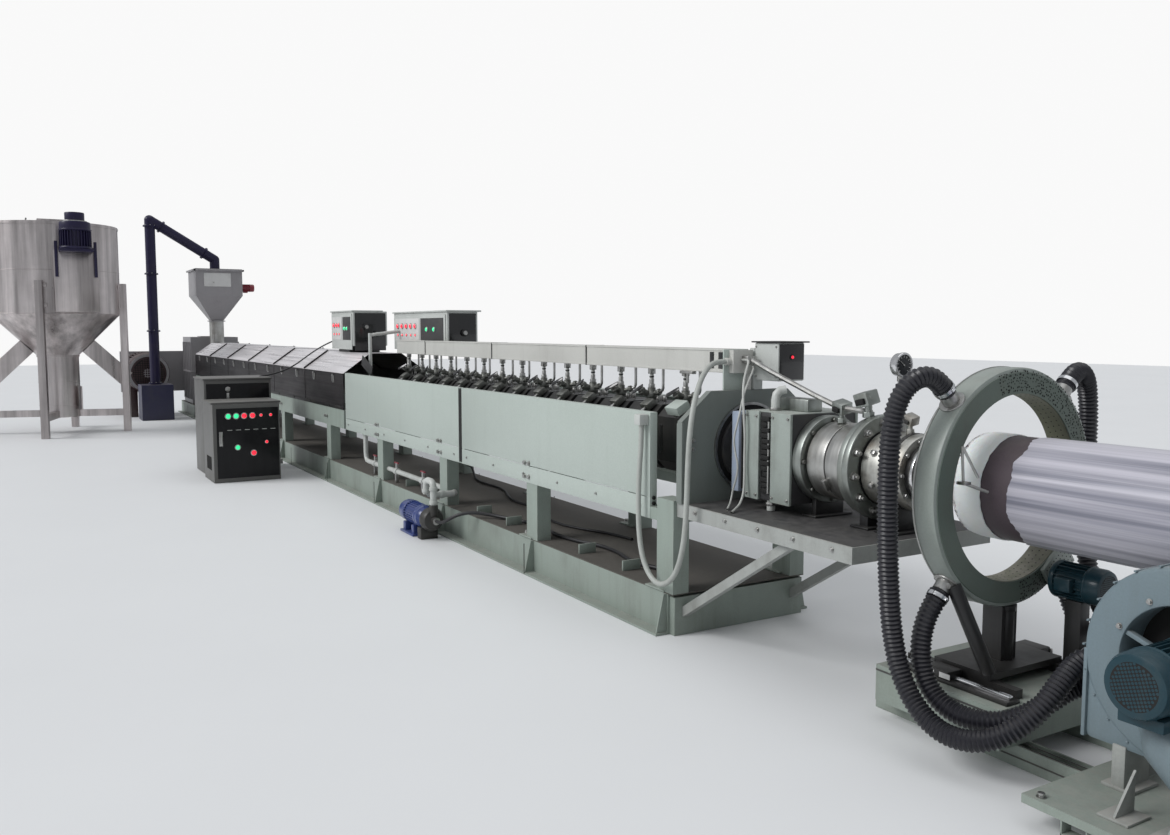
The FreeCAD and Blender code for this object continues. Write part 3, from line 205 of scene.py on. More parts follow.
class Shape:
    """A mesh being modelled from bmesh operators, each new part with its own finish number."""

    def __init__(self):
        self.bm = bmesh.new()

    def faces_of(self, verts, finish):
        faces = {face for vert in verts for face in vert.link_faces}
        for face in faces:
            face.material_index = finish
        return faces

    def round(self, verts, offset, segments=2, keep=lambda edge: True):
        """Bevel the sharp edges of a new part."""
        edges = {edge for vert in verts for edge in vert.link_edges}
        sharp = [edge for edge in edges if edge.calc_face_angle(0) > 0.5 and keep(edge)]
        bmesh.ops.bevel(self.bm, geom=sharp, offset=offset, offset_type="OFFSET", segments=segments,
                        profile=0.5, affect="EDGES", material=-1, clamp_overlap=True)

    def block(self, low, high, finish=0, bevel=0.0, matrix=None, segments=2):
        low, high = Vector(low), Vector(high)
        place = Matrix.Translation((low + high) / 2) @ Matrix.Diagonal((*(high - low), 1))
        made = bmesh.ops.create_cube(self.bm, size=1, matrix=(matrix or Matrix()) @ place)
        self.faces_of(made["verts"], finish)
        if bevel:
            self.round(made["verts"], bevel, segments)
        return self

    def rod(self, start, end, radius, finish=0, sides=24, bevel=0.0, tip=None, roll=0.0):
        """A capped cylinder, or a cone where the tip's radius differs."""
        start, end = Vector(start), Vector(end)
        length = (end - start).length
        made = bmesh.ops.create_cone(
            self.bm, cap_ends=True, segments=sides, radius1=radius, radius2=radius if tip is None else tip,
            depth=length, matrix=aim((start + end) / 2, end - start, roll),
        )
        self.faces_of(made["verts"], finish)
        if bevel:
            self.round(made["verts"], bevel, 2)
        return self

    def turned(self, profile, spot, direction, finish=0, steps=48, closed=True):
        """A closed (radius, along) profile spun about a direction through a spot."""
        place = aim(spot, direction)
        verts = [self.bm.verts.new(place @ Vector((radius, 0, along))) for radius, along in profile]
        pairs = list(zip(verts, verts[1:]))
        if closed and min(profile[0][0], profile[-1][0]) > 0:
            pairs.append((verts[-1], verts[0]))
        edges = [self.bm.edges.new(pair) for pair in pairs]
        made = bmesh.ops.spin(self.bm, geom=verts + edges, cent=spot, axis=place.to_3x3() @ Z_AXIS,
                              angle=2 * math.pi, steps=steps, use_merge=True)
        faces = {face for vert in made["geom_last"] + verts if isinstance(vert, bmesh.types.BMVert)
                 and vert.is_valid for face in vert.link_faces}
        found = set(faces)
        while faces:
            faces = {near for face in faces for edge in face.edges for near in edge.link_faces} - found
            found |= faces
        near = list({vert for face in found for vert in face.verts})
        bmesh.ops.remove_doubles(self.bm, verts=near, dist=1e-5)
        found = [face for face in found if face.is_valid]
        bmesh.ops.recalc_face_normals(self.bm, faces=found)
        for face in found:
            face.material_index = finish
        return self

    def add(self, other, matrix=None, finish=None):
        """Stamp another shape's mesh into this one."""
        mesh = bpy.data.meshes.new("stamp")
        other.bm.to_mesh(mesh)
        if matrix is not None:
            mesh.transform(matrix)
        if finish is not None:
            for face in mesh.polygons:
                face.material_index = finish
        self.bm.from_mesh(mesh)
        bpy.data.meshes.remove(mesh)
        return self

    def disc(self, spot, direction, radius, finish=0, sides=10):
        made = bmesh.ops.create_circle(self.bm, cap_ends=True, segments=sides, radius=radius,
                                       matrix=aim(spot, direction))
        self.faces_of(made["verts"], finish)
        return self

    def sweep(self, points, radii, finish=0, sides=8):
        """A closed tube along points, ring after ring extruded from a first circle."""
        spots = [Vector(point) for point in points]
        ahead = [(after - before).normalized() for before, after in zip(spots, spots[1:])]
        ahead.append(ahead[-1])
        frame_now = aim(spots[0], ahead[0])
        ring = bmesh.ops.create_circle(self.bm, cap_ends=False, segments=sides, radius=radii[0],
                                       matrix=frame_now)["verts"]
        edges = list({edge for vert in ring for edge in vert.link_edges})
        first = edges
        whole = list(edges)
        for index in range(1, len(spots)):
            along = (ahead[index - 1] + ahead[index]).normalized()
            now = frame_now.to_3x3() @ Z_AXIS
            turn = now.rotation_difference(along).to_matrix().to_4x4()
            frame_next = Matrix.Translation(spots[index]) @ turn @ frame_now.to_3x3().to_4x4()
            grow = Matrix.Diagonal((radii[index] / radii[index - 1],) * 2 + (1, 1))
            made = bmesh.ops.extrude_edge_only(self.bm, edges=edges)["geom"]
            ring = [item for item in made if isinstance(item, bmesh.types.BMVert)]
            edges = [item for item in made if isinstance(item, bmesh.types.BMEdge)
                     and all(vert in ring for vert in item.verts)]
            whole += edges
            bmesh.ops.transform(self.bm, matrix=frame_next @ grow @ frame_now.inverted(), verts=ring)
            frame_now = frame_next
        caps = [bmesh.ops.contextual_create(self.bm, geom=loop)["faces"] for loop in (first, edges)]
        faces = {face for edge in whole for face in edge.link_faces} | {face for cap in caps for face in cap}
        bmesh.ops.recalc_face_normals(self.bm, faces=list(faces))
        for face in faces:
            face.material_index = finish
        return self

    def piece(self, name, finishes, body=LINE, replaces=(), slot=None, smooth=40):
        """Turn the shape into a piece of the line, riding on its body."""
        mesh = bpy.data.meshes.new(name)
        self.bm.to_mesh(mesh)
        self.bm.free()
        for each in finishes:
            mesh.materials.append(finish(each))
        mesh.shade_smooth()
        mesh.set_sharp_from_angle(angle=math.radians(smooth))
        made = bpy.data.objects.new(name, mesh)
        bpy.context.scene.collection.objects.link(made)
        return settle(made, body, replaces)


def settle(made, body=LINE, replaces=()):
    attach(made, body)
    if replaces:
        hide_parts(*replaces)
    return made


def coat(finish_name, *nodes):
    """Give CAD nodes their finish."""
    for node in nodes:
        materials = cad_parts[node].data.materials
        materials.clear()
        materials.append(finish(finish_name))


def bolt(across, nut=False):
    """A hexagon head on its washer, standing on the origin."""
    made = Shape()
    made.rod((0, 0, 0), (0, 0, across * 0.12), across * 0.72, sides=16)
    made.rod((0, 0, across * 0.1), (0, 0, across * 0.7), across * 0.56, sides=6, bevel=across * 0.05)
    if nut:
        made.rod((0, 0, across * 0.6), (0, 0, across * 1.1), across * 0.28, sides=10)
    return made


def bolt_circle(shape, fastener, centre, direction, radius, count, finish_number=1, phase=0.0):
    """Fasteners in a ring, each pointing along the direction."""
    place = aim(centre, direction)
    for number in range(count):
        angle = phase + 2 * math.pi * number / count
        spot = place @ Vector((radius * math.cos(angle), radius * math.sin(angle), 0))
        shape.add(fastener, aim(spot, direction, angle), finish_number)


def soft_profile(length, radius, edge, hole=0.0):
    """A (radius, along) outline of a disc or ring with its outer edges rounded."""
    corner = [(radius - edge + edge * math.sin(math.radians(a)), edge - edge * math.cos(math.radians(a)))
              for a in (0, 30, 60, 90)]
    far = [(r, length - along) for r, along in reversed(corner)]
    return [(hole, 0)] + corner + far + [(hole, length)]


def machine(length, radius, fins=28, cover=True, box_side=1):
    """An electric motor along +Z from its mounting face: finned body (0), fan cover with slots on a dark face (1) that
    paints the shade inside it, steel (2).
    """
    made = Shape()
    body = length * 0.66
    made.turned(soft_profile(length * 0.1, radius, radius * 0.06), (0, 0, 0), Z_AXIS, 0, 32)
    made.rod((0, 0, length * 0.08), (0, 0, body), radius * 0.84, 0, 32)
    fin = Shape().block((radius * 0.8, -radius * 0.022, length * 0.1), (radius * 0.97, radius * 0.022, body), 0)
    for number in range(fins):
        made.add(fin, Matrix.Rotation(2 * math.pi * number / fins, 4, "Z"))
    made.turned(soft_profile(length * 0.07, radius, radius * 0.08), (0, 0, body), Z_AXIS, 0, 32)
    if cover:
        hood = [(0, 0), (radius * 0.97, 0), (radius * 0.97, length * 0.2), (radius * 0.9, length * 0.265),
                (radius * 0.78, length * 0.28), (0, length * 0.28)]
        made.turned(hood, (0, 0, length * 0.72), Z_AXIS, 0, 32)
        made.disc((0, 0, length * 1.001), Z_AXIS, radius * 0.7, 1, 32)
        slot = Shape().disc((0, 0, 0), Z_AXIS, radius * 0.045, 0, 8)
        reach = 6
        for across in range(-reach, reach + 1):
            for up in range(-reach, reach + 1):
                if math.hypot(across, up) < reach + 0.4:
                    spot = (across * radius * 0.105, up * radius * 0.105, length * 1.003)
                    made.add(slot, Matrix.Translation(spot), 0)
    made.block((-radius * 0.34, radius * 0.7 * box_side, length * 0.2),
               (radius * 0.34, radius * 1.28 * box_side, length * 0.52), 0, radius * 0.04)
    return made


# ---- finishes ----


class Finish:
    """A material or shader group whose nodes are added one call at a time."""

    def __init__(self, tree):
        self.tree = tree

    def node(self, kind, inputs=(), **settings):
        made = self.tree.nodes.new(kind)
        for name, value in settings.items():
            setattr(made, name, value)
        for key, value in dict(inputs).items():
            if isinstance(value, bpy.types.NodeSocket):
                self.tree.links.new(value, made.inputs[key])
            else:
                made.inputs[key].default_value = value
        return made

    def maths(self, operation, first, second=0.0, clamp=False):
        made = self.node("ShaderNodeMath", {0: first, 1: second}, operation=operation, use_clamp=clamp)
        return made.outputs[0]

    def band(self, value, low, high, start=0.0, end=1.0):
        """The value mapped from low..high to start..end."""
        made = self.node("ShaderNodeMapRange", {0: value, 1: low, 2: high, 3: start, 4: end})
        return made.outputs[0]

    def mix(self, share, first, second):
        made = self.node("ShaderNodeMix", {0: share, 6: first, 7: second}, data_type="RGBA")
        return made.outputs[2]

    def noise(self, place, scale, detail=4.0, roughness=0.55):
        made = self.node("ShaderNodeTexNoise", {"Vector": place, "Scale": scale, "Detail": detail,
                                                "Roughness": roughness})
        return made.outputs["Fac"]

    def stretched(self, place, scale):
        return self.node("ShaderNodeMapping", {"Vector": place, "Scale": scale}).outputs[0]

    def place(self):
        return self.node("ShaderNodeTexCoord").outputs["Object"]


def shader_group(name, sockets, outputs, build):
    """A shared effect, built once: sockets are (name, type, default) of its inputs."""
    found = bpy.data.node_groups.get(name)
    if found:
        return found
    tree = bpy.data.node_groups.new(name, "ShaderNodeTree")
    for label, kind, default in sockets:
        socket = tree.interface.new_socket(name=label, in_out="INPUT", socket_type=kind)
        socket.default_value = default
    for label, kind in outputs:
        tree.interface.new_socket(name=label, in_out="OUTPUT", socket_type=kind)
    group = Finish(tree)
    inside = group.node("NodeGroupInput")
    results = build(group, inside.outputs)
    end = group.node("NodeGroupOutput")
    for label, value in results.items():
        tree.links.new(value, end.inputs[label])
    return tree


SURFACE = [("Color", "NodeSocketColor"), ("Roughness", "NodeSocketFloat"), ("Height", "NodeSocketFloat")]


def shop_grime(group, given):
    """Blotches, runs down the sides, dust on top and darkening towards the floor."""
    place = group.place()
    blotch = group.band(group.noise(place, given["Scale"], 6, 0.62), 0.48, 0.72)
    runs = group.band(group.noise(group.stretched(place, (9, 9, 0.8)), 1.6, 4, 0.6), 0.52, 0.75)
    height = group.node("ShaderNodeSeparateXYZ", {0: place}).outputs[2]
    # Darker towards the floor: the grime colour is mixed in more strongly below 0.55 m of height.
    low = group.band(height, 0.0, 0.55, 1.0, 0.0)
    dirt = group.maths("ADD", group.maths("MULTIPLY", blotch, 0.55), group.maths("MULTIPLY", runs, 0.35))
    dirt = group.maths("ADD", dirt, group.maths("MULTIPLY", low, 0.45))
    dirt = group.maths("MULTIPLY", dirt, given["Grime"], clamp=True)
    facing = group.node("ShaderNodeNewGeometry").outputs["Normal"]
    upward = group.band(group.node("ShaderNodeSeparateXYZ", {0: facing}).outputs[2], 0.55, 0.95)
    specks = group.noise(place, 23.0, 5, 0.7)
    dust = group.maths("MULTIPLY", upward, group.band(specks, 0.3, 0.65), clamp=True)
    dust = group.maths("MULTIPLY", dust, given["Dust"], clamp=True)
    grain = group.noise(place, 140.0, 2, 0.5)
    tone = group.node("ShaderNodeHueSaturation", {"Value": group.band(grain, 0.2, 0.8, 0.93, 1.06),
                                                  "Color": given["Color"]}).outputs[0]
    colour = group.mix(dust, group.mix(dirt, tone, given["Grime Color"]), given["Dust Color"])
    rough = group.maths("ADD", given["Roughness"], group.maths("MULTIPLY", dirt, 0.22))
    rough = group.maths("ADD", rough, group.maths("MULTIPLY", dust, 0.35), clamp=True)
    relief = group.maths("ADD", grain, group.maths("MULTIPLY", specks, 0.6))
    return {"Color": colour, "Roughness": rough, "Height": relief}


def brushed_metal(group, given):
    """Fine lines along one direction, with stains."""
    place = group.place()
    lines = group.noise(group.node("ShaderNodeMapping", {"Vector": place, "Scale": given["Stretch"]}).outputs[0],
                        1.0, 5, 0.65)
    darkest = group.maths("SUBTRACT", 1.0, given["Contrast"])
    brightest = group.maths("ADD", 1.0, group.maths("MULTIPLY", given["Contrast"], 0.6))
    stain = group.band(group.noise(place, given["Scale"], 6, 0.65), 0.42, 0.72)
    stain = group.maths("MULTIPLY", stain, given["Stain"], clamp=True)
    tone = group.node("ShaderNodeHueSaturation", {"Value": group.band(lines, 0.28, 0.72, darkest, brightest),
                                                  "Color": given["Color"]}).outputs[0]
    colour = group.mix(stain, tone, given["Stain Color"])
    rough = group.maths("ADD", given["Roughness"], group.band(lines, 0.2, 0.8, -0.08, 0.12))
    rough = group.maths("ADD", rough, group.maths("MULTIPLY", stain, 0.25), clamp=True)
    return {"Color": colour, "Roughness": rough, "Height": lines}


def surface_node(made, group_name, values):
    """Place a shared effect in a material with its own values."""
    kinds = {
        "Shop Grime": (shop_grime, [
            ("Color", "NodeSocketColor", (0.5, 0.5, 0.5, 1)), ("Grime Color", "NodeSocketColor", (0.1, 0.1, 0.1, 1)),
            ("Dust Color", "NodeSocketColor", (0.4, 0.4, 0.4, 1)), ("Scale", "NodeSocketFloat", 1.4),
            ("Grime", "NodeSocketFloat", 0.3), ("Dust", "NodeSocketFloat", 0.3),
            ("Roughness", "NodeSocketFloat", 0.4),
        ]),
        "Brushed Metal": (brushed_metal, [
            ("Color", "NodeSocketColor", (0.5, 0.5, 0.5, 1)), ("Stain Color", "NodeSocketColor", (0.2, 0.2, 0.2, 1)),
            ("Stain", "NodeSocketFloat", 0.3), ("Scale", "NodeSocketFloat", 3.0),
            ("Stretch", "NodeSocketVector", (1, 1, 1)), ("Roughness", "NodeSocketFloat", 0.3),
            ("Contrast", "NodeSocketFloat", 0.2),
        ]),
    }
    build, sockets = kinds[group_name]
    node = made.node("ShaderNodeGroup", node_tree=shader_group(group_name, sockets, SURFACE, build))
    for name, value in values.items():
        node.inputs[name].default_value = (*value, 1) if len_of(value) == 3 and name != "Stretch" else value
    return node.outputs


def len_of(value):
    return len(value) if hasattr(value, "__len__") else 0


def close_material(made, colour, rough, height=None, bump=0.1, distance=0.001, **plain):
    """The Principled shader and its output; plain values stay on the shader's own sockets."""
    bsdf = made.node("ShaderNodeBsdfPrincipled", {"Base Color": colour, "Roughness": rough})
    for name, value in plain.items():
        bsdf.inputs[name.replace("_", " ")].default_value = value
    if height is not None:
        relief = made.node("ShaderNodeBump", {"Strength": bump, "Distance": distance, "Height": height})
        made.tree.links.new(relief.outputs[0], bsdf.inputs["Normal"])
    out = made.node("ShaderNodeOutputMaterial")
    made.tree.links.new(bsdf.outputs[0], out.inputs[0])


def painted(colour, roughness=0.42, grime=0.3, dust=0.3, scale=1.4, bump=0.08, coat_weight=0.0,
            grime_colour=(0.09, 0.085, 0.07), dust_colour=(0.36, 0.34, 0.31), shine=0.5):
    """Machine paint with shop dirt."""
    def build(made):
        out = surface_node(made, "Shop Grime", {
            "Color": colour, "Grime Color": grime_colour, "Dust Color": dust_colour, "Scale": scale,
            "Grime": grime, "Dust": dust, "Roughness": roughness,
        })
        close_material(made, out["Color"], out["Roughness"], out["Height"], bump, Coat_Weight=coat_weight,
                       Specular_IOR_Level=shine)
    return build


def metal(colour, roughness=0.3, stain=0.25, stain_colour=(0.16, 0.12, 0.09), stretch=(2, 60, 60), scale=4.0,
          bump=0.06, contrast=0.2):
    """Bare, brushed or turned metal."""
    def build(made):
        out = surface_node(made, "Brushed Metal", {
            "Color": colour, "Stain Color": stain_colour, "Stain": stain, "Scale": scale, "Stretch": stretch,
            "Roughness": roughness, "Contrast": contrast,
        })
        close_material(made, out["Color"], out["Roughness"], out["Height"], bump, Metallic=1.0)
    return build


def cover_sheet(made):
    """Brushed cover sheet: bright on its slopes, with painted shade, near black and streaked, on its upright sides."""
    out = surface_node(made, "Brushed Metal", {
        "Color": (0.88, 0.85, 0.865), "Stain Color": (0.42, 0.39, 0.40), "Stain": 0.3, "Scale": 1.4,
        "Stretch": (0.5, 30, 30), "Roughness": 0.27, "Contrast": 0.3,
    })
    # Painted shade: the upright faces are mixed to near black, standing for the shade on the cover's sides and ends.
    facing = made.node("ShaderNodeNewGeometry").outputs["Normal"]
    rise = made.node("ShaderNodeSeparateXYZ", {0: facing}).outputs[2]
    upright = made.band(rise, 0.15, 0.4, 1.0, 0.0)
    side_shade_streaks = made.noise(made.stretched(made.place(), (1.2, 1, 6)), 1.6, 5, 0.6)
    painted_side_shade = made.mix(made.band(side_shade_streaks, 0.35, 0.65), (0.010, 0.009, 0.010, 1), (0.035, 0.031, 0.033, 1))
    rough = made.maths("ADD", out["Roughness"], made.maths("MULTIPLY", upright, 0.15))
    close_material(made, made.mix(upright, out["Color"], painted_side_shade), rough, out["Height"], 0.05, Metallic=0.5)


def glowing(colour, strength):
    """A lit lamp lens, brighter in its middle."""
    def build(made):
        speck = made.band(made.noise(made.place(), 90.0, 2), 0.3, 0.7, 0.8, 1.0)
        tone = made.node("ShaderNodeHueSaturation", {"Value": speck, "Color": (*colour, 1)}).outputs[0]
        close_material(made, tone, 0.15, Emission_Strength=strength, Coat_Weight=0.6)
        bsdf = made.tree.nodes["Principled BSDF"]
        made.tree.links.new(tone, bsdf.inputs["Emission Color"])
    return build


def rubber(colour, roughness=0.5):
    """Matt rubber with handling marks and dust."""
    return painted(colour, roughness, grime=0.3, dust=0.35, scale=5.0, bump=0.15,
                   grime_colour=(0.03, 0.03, 0.035), dust_colour=(0.11, 0.105, 0.1))


def film_skin(colour):
    """Foam film stretched along the mandrel: soft streaks that run with the machine."""
    def build(made):
        place = made.place()
        wide = made.noise(made.stretched(place, (0.22, 21, 21)), 1.0, 4, 0.55)
        fine = made.noise(made.stretched(place, (1.0, 95, 95)), 1.0, 3, 0.6)
        pale = tuple(min(1, part * 1.2) for part in colour)
        deep = (colour[0] * 0.46, colour[1] * 0.48, colour[2] * 0.53)
        tone = made.mix(made.band(wide, 0.36, 0.56), (*deep, 1), (*pale, 1))
        tone = made.node("ShaderNodeHueSaturation", {"Value": made.band(fine, 0.25, 0.75, 0.84, 1.1),
                                                     "Color": tone}).outputs[0]
        rough = made.band(fine, 0.2, 0.8, 0.3, 0.46)
        close_material(made, tone, rough, wide, 0.35, 0.004, Sheen_Weight=0.25, Coat_Weight=0.12)
    return build


def foam_skin(made):
    """White foam with small cells."""
    place = made.place()
    cells = made.node("ShaderNodeTexVoronoi", {"Vector": place, "Scale": 160.0}).outputs["Distance"]
    tone = made.mix(made.band(made.noise(place, 7.0), 0.35, 0.7), (0.78, 0.75, 0.74, 1), (0.86, 0.85, 0.84, 1))
    close_material(made, tone, made.band(cells, 0.0, 0.6, 0.5, 0.75), cells, 0.4, 0.002,
                   Subsurface_Weight=0.15)


def dark_glass(made):
    """A black glossy panel with faint smears."""
    smear = made.noise(made.stretched(made.place(), (3, 5, 1.2)), 3.0, 5, 0.6)
    close_material(made, made.mix(smear, (0.004, 0.004, 0.005, 1), (0.012, 0.012, 0.013, 1)),
                   made.band(smear, 0.3, 0.7, 0.12, 0.26), Specular_IOR_Level=0.22)


def dial_glass(made):
    """A dark dial behind its glass."""
    mark = made.noise(made.place(), 60.0, 2)
    close_material(made, made.mix(mark, (0.018, 0.02, 0.023, 1), (0.03, 0.032, 0.036, 1)), 0.14,
                   Specular_IOR_Level=0.35)


def pale_floor(made):
    """A plain, pale studio floor."""
    tone = made.mix(made.noise(made.place(), 0.6), (0.70, 0.71, 0.72, 1), (0.74, 0.75, 0.76, 1))
    close_material(made, tone, 0.6)


def finishes():
    paint = colours()
    machine_green = tuple(paint.machine)
    skid_green = tuple(paint.skid)
    return {
        "machine_green": painted(machine_green, 0.36, 0.14, 0.2, 0.9),
        "block_green": painted(tuple(part * 0.72 for part in machine_green), 0.4, 0.6, 0.4, 4.5),
        # Painted shade: the machine green darkened to a shaded copy for the end plate, whose +X faces lie in shade.
        "end_plate_shade_green": painted(tuple(part * 0.42 for part in machine_green), 0.42, 0.4, 0.3, 2.0),
        "ring_green": painted(tuple(part * 0.62 for part in machine_green), 0.36, 0.35, 0.2, 2.2),
        "ring_dark": painted((0.085, 0.115, 0.095), 0.4, 0.5, 0.2, 5.0),
        "skid_green": painted(skid_green, 0.45, 0.45, 0.4, 2.0),
        "flange_olive": painted((0.16, 0.165, 0.115), 0.6, 0.8, 0.6, 4.0),
        "deck_brown": painted((0.07, 0.063, 0.056), 0.6, 0.6, 0.45, 2.2, 0.2, dust_colour=(0.15, 0.14, 0.125)),
        "table_dark": painted((0.035, 0.035, 0.037), 0.5, 0.6, 0.5, 6.0, 0.2, dust_colour=(0.13, 0.125, 0.12)),
        "table_edge": painted((0.33, 0.345, 0.33), 0.5, 0.55, 0.6, 5.0),
        "black_paint": painted((0.011, 0.011, 0.012), 0.4, 0.4, 0.4, 3.0, 0.1, dust_colour=(0.07, 0.068, 0.065)),
        "black_gloss": painted((0.007, 0.007, 0.008), 0.2, 0.15, 0.2, 3.0, 0.04, 0.4,
                               dust_colour=(0.05, 0.05, 0.05)),
        "cream_paint": painted((0.54, 0.54, 0.51), 0.4, 0.3, 0.3, 1.8),
        "plate_blue": painted((0.36, 0.42, 0.52), 0.3, 0.25, 0.3, 2.6),
        "white_box": painted((0.50, 0.52, 0.50), 0.4, 0.25, 0.3, 3.0),
        "mandrel_mauve": painted((0.075, 0.058, 0.068), 0.45, 0.3, 0.1, 3.0, shine=0.3),
        "motor_teal": painted(tuple(paint.motor), 0.34, 0.3, 0.25, 6.0, 0.1, 0.1, dust_colour=(0.07, 0.10, 0.11),
                              shine=0.3),
        "fan_blue": painted(tuple(paint.fan), 0.38, 0.35, 0.3, 2.5, 0.08, shine=0.35),
        "duct_violet": painted(tuple(paint.duct), 0.36, 0.2, 0.3, 3.0, 0.06, 0.05, dust_colour=(0.07, 0.07, 0.10),
                               shine=0.3),
        "bin_blue": painted((0.02, 0.02, 0.06), 0.4, 0.3, 0.3, 3.0),
        "hopper_grey": painted((0.30, 0.29, 0.30), 0.38, 0.3, 0.3, 2.0),
        "motor_red": painted((0.22, 0.014, 0.03), 0.35, 0.35, 0.2, 5.0, 0.08, 0.2),
        "disc_maroon": painted((0.035, 0.013, 0.016), 0.4, 0.3, 0.3, 3.0),
        "cabinet_grey": painted((0.10, 0.10, 0.097), 0.38, 0.35, 0.35, 3.0),
        "pump_blue": painted((0.008, 0.035, 0.20), 0.28, 0.3, 0.15, 6.0, 0.1, 0.3),
        "pipe_white": painted((0.52, 0.54, 0.52), 0.35, 0.4, 0.3, 8.0),
        "bare_steel": metal((0.50, 0.50, 0.485), 0.34, 0.5, (0.17, 0.15, 0.12), (70, 4, 4), 7.0),
        "flange_steel": metal((0.36, 0.385, 0.365), 0.38, 0.45, (0.13, 0.125, 0.10), (60, 3, 3), 9.0),
        "dull_cast": metal((0.24, 0.245, 0.23), 0.5, 0.5, (0.07, 0.065, 0.055), (30, 30, 30), 24.0),
        "scorched_steel": metal((0.50, 0.50, 0.47), 0.4, 0.7, (0.17, 0.13, 0.095), (45, 5, 5), 9.0, 0.12),
        "stainless": metal((0.62, 0.575, 0.57), 0.3, 0.4, (0.20, 0.17, 0.165), (5, 5, 0.25), 0.8, 0.05, 0.6),
        "cover_steel": cover_sheet,
        "bolt_steel": metal((0.45, 0.45, 0.44), 0.32, 0.35, (0.15, 0.13, 0.1), (30, 30, 30), 20.0),
        "bright_strip": metal((0.72, 0.73, 0.75), 0.18, 0.08, stretch=(2, 50, 50)),
        "chrome": metal((0.72, 0.72, 0.73), 0.14, 0.15, (0.3, 0.28, 0.26), (3, 3, 20), 12.0, 0.02),
        "hose_black": rubber((0.014, 0.014, 0.019), 0.34),
        "cable_black": rubber((0.010, 0.010, 0.012), 0.45),
        "conduit_grey": painted((0.40, 0.42, 0.395), 0.5, 0.35, 0.3, 9.0),
        "cable_white": painted((0.46, 0.47, 0.45), 0.45, 0.45, 0.25, 12.0),
        # Painted shade: near black standing for the shade inside holes, slots, vents and gaps; also the colour of real
        # black parts, the heater block's insulated elements and the skid's seams.
        "hole_black": painted((0.006, 0.006, 0.006), 0.8, 0.1, 0.0),
        "strip_white": painted((0.62, 0.62, 0.61), 0.45, 0.25, 0.2, 9.0),
        "film_lilac": film_skin(tuple(paint.film)),
        "foam_white": foam_skin,
        "door_black": dark_glass,
        "dial_face": dial_glass,
        "lamp_green": glowing((0.02, 0.55, 0.22), 1.6),
        "lamp_red": glowing((0.75, 0.01, 0.03), 1.8),
        "floor_pale": pale_floor,
    }


def finish(name):
    """The named material, built the first time that it is asked for."""
    label = f"{name}_finish"
    found = bpy.data.materials.get(label)
    if found:
        return found
    material = bpy.data.materials.new(label)
    material.use_nodes = True
    material.node_tree.nodes.clear()
    finishes()[name](Finish(material.node_tree))
    return material


# ---- stage and cords ----


class LINE_OT_stage(bpy.types.Operator):
    """Camera, soft light and a pale floor"""

    bl_idname = "line.stage"
    bl_label = "Stage"

    def execute(self, context):
        scene = context.scene
        lens = bpy.data.cameras.new("camera")
        lens.lens = 30.62
        lens.sensor_width = 36
        lens.clip_end = 200
        camera = bpy.data.objects.new("camera", lens)
        camera.location = (4.2, -3.4, 1.6)
        camera.rotation_euler = (math.radians(90 - 5.083), 0, math.radians(90 - 30.226))
        scene.collection.objects.link(camera)
        scene.camera = camera

        for name, energy, spread, way in (("window_light", 2.0, 30, (0.22, 0.80, -0.62)),
                                          ("roof_light", 0.55, 60, (-0.15, -0.1, -1.0))):
            sun = bpy.data.lights.new(name, "SUN")
            sun.energy = energy
            sun.angle = math.radians(spread)
            lamp_at = bpy.data.objects.new(name, sun)
            lamp_at.rotation_euler = Vector(way).to_track_quat("-Z", "Y").to_euler()
            scene.collection.objects.link(lamp_at)

        world = bpy.data.worlds.new("studio")
        world.use_nodes = True
        sky = Finish(world.node_tree)
        shade = world.node_tree.nodes["Background"]
        shade.inputs["Color"].default_value = (0.93, 0.96, 1.0, 1)
        shade.inputs["Strength"].default_value = 0.45
        backdrop = sky.node("ShaderNodeBackground", {"Color": (1, 1, 1, 1), "Strength": 0.95})
        seen = sky.node("ShaderNodeLightPath").outputs["Is Camera Ray"]
        mixed = sky.node("ShaderNodeMixShader", {0: seen, 1: shade.outputs[0], 2: backdrop.outputs[0]})
        world.node_tree.links.new(mixed.outputs[0], world.node_tree.nodes["World Output"].inputs[0])
        scene.world = world
        scene.view_settings.view_transform = "Standard"

        plane = bmesh.new()
        bmesh.ops.create_grid(plane, x_segments=8, y_segments=8, size=40,
                              matrix=Matrix.Translation((-6, 0, -0.001)))
        mesh = bpy.data.meshes.new("floor")
        plane.to_mesh(mesh)
        plane.free()
        mesh.materials.append(finish("floor_pale"))
        floor = bpy.data.objects.new("floor", mesh)
        scene.collection.objects.link(floor)
        return {"FINISHED"}


def route_curve(name, diameter=0.0):
    """A cord's smooth line along its route."""
    curve = bpy.data.curves.new(name, "CURVE")
    curve.dimensions = "3D"
    curve.resolution_u = 12
    curve.bevel_depth = diameter / 2
    curve.bevel_resolution = 5
    spline = curve.splines.new("NURBS")
    spline.points.add(len(ROUTES[name]) - 1)
    for point, spot in zip(spline.points, ROUTES[name]):
        point.co = (*spot, 1)
    spline.order_u = 3
    spline.use_endpoint_u = True
    made = bpy.data.objects.new(name, curve)
    bpy.context.scene.collection.objects.link(made)
    return made


def route_line(name):
    """Points close together on the cord's smooth line."""
    guide = route_curve(name)
    view = bpy.context.evaluated_depsgraph_get()
    mesh = bpy.data.meshes.new_from_object(guide.evaluated_get(view))
    line = [vert.co.copy() for vert in mesh.vertices]
    bpy.data.meshes.remove(mesh)
    bpy.data.objects.remove(guide)
    if (line[0] - Vector(ROUTES[name][0])).length > 0.01:
        line.reverse()
    return line


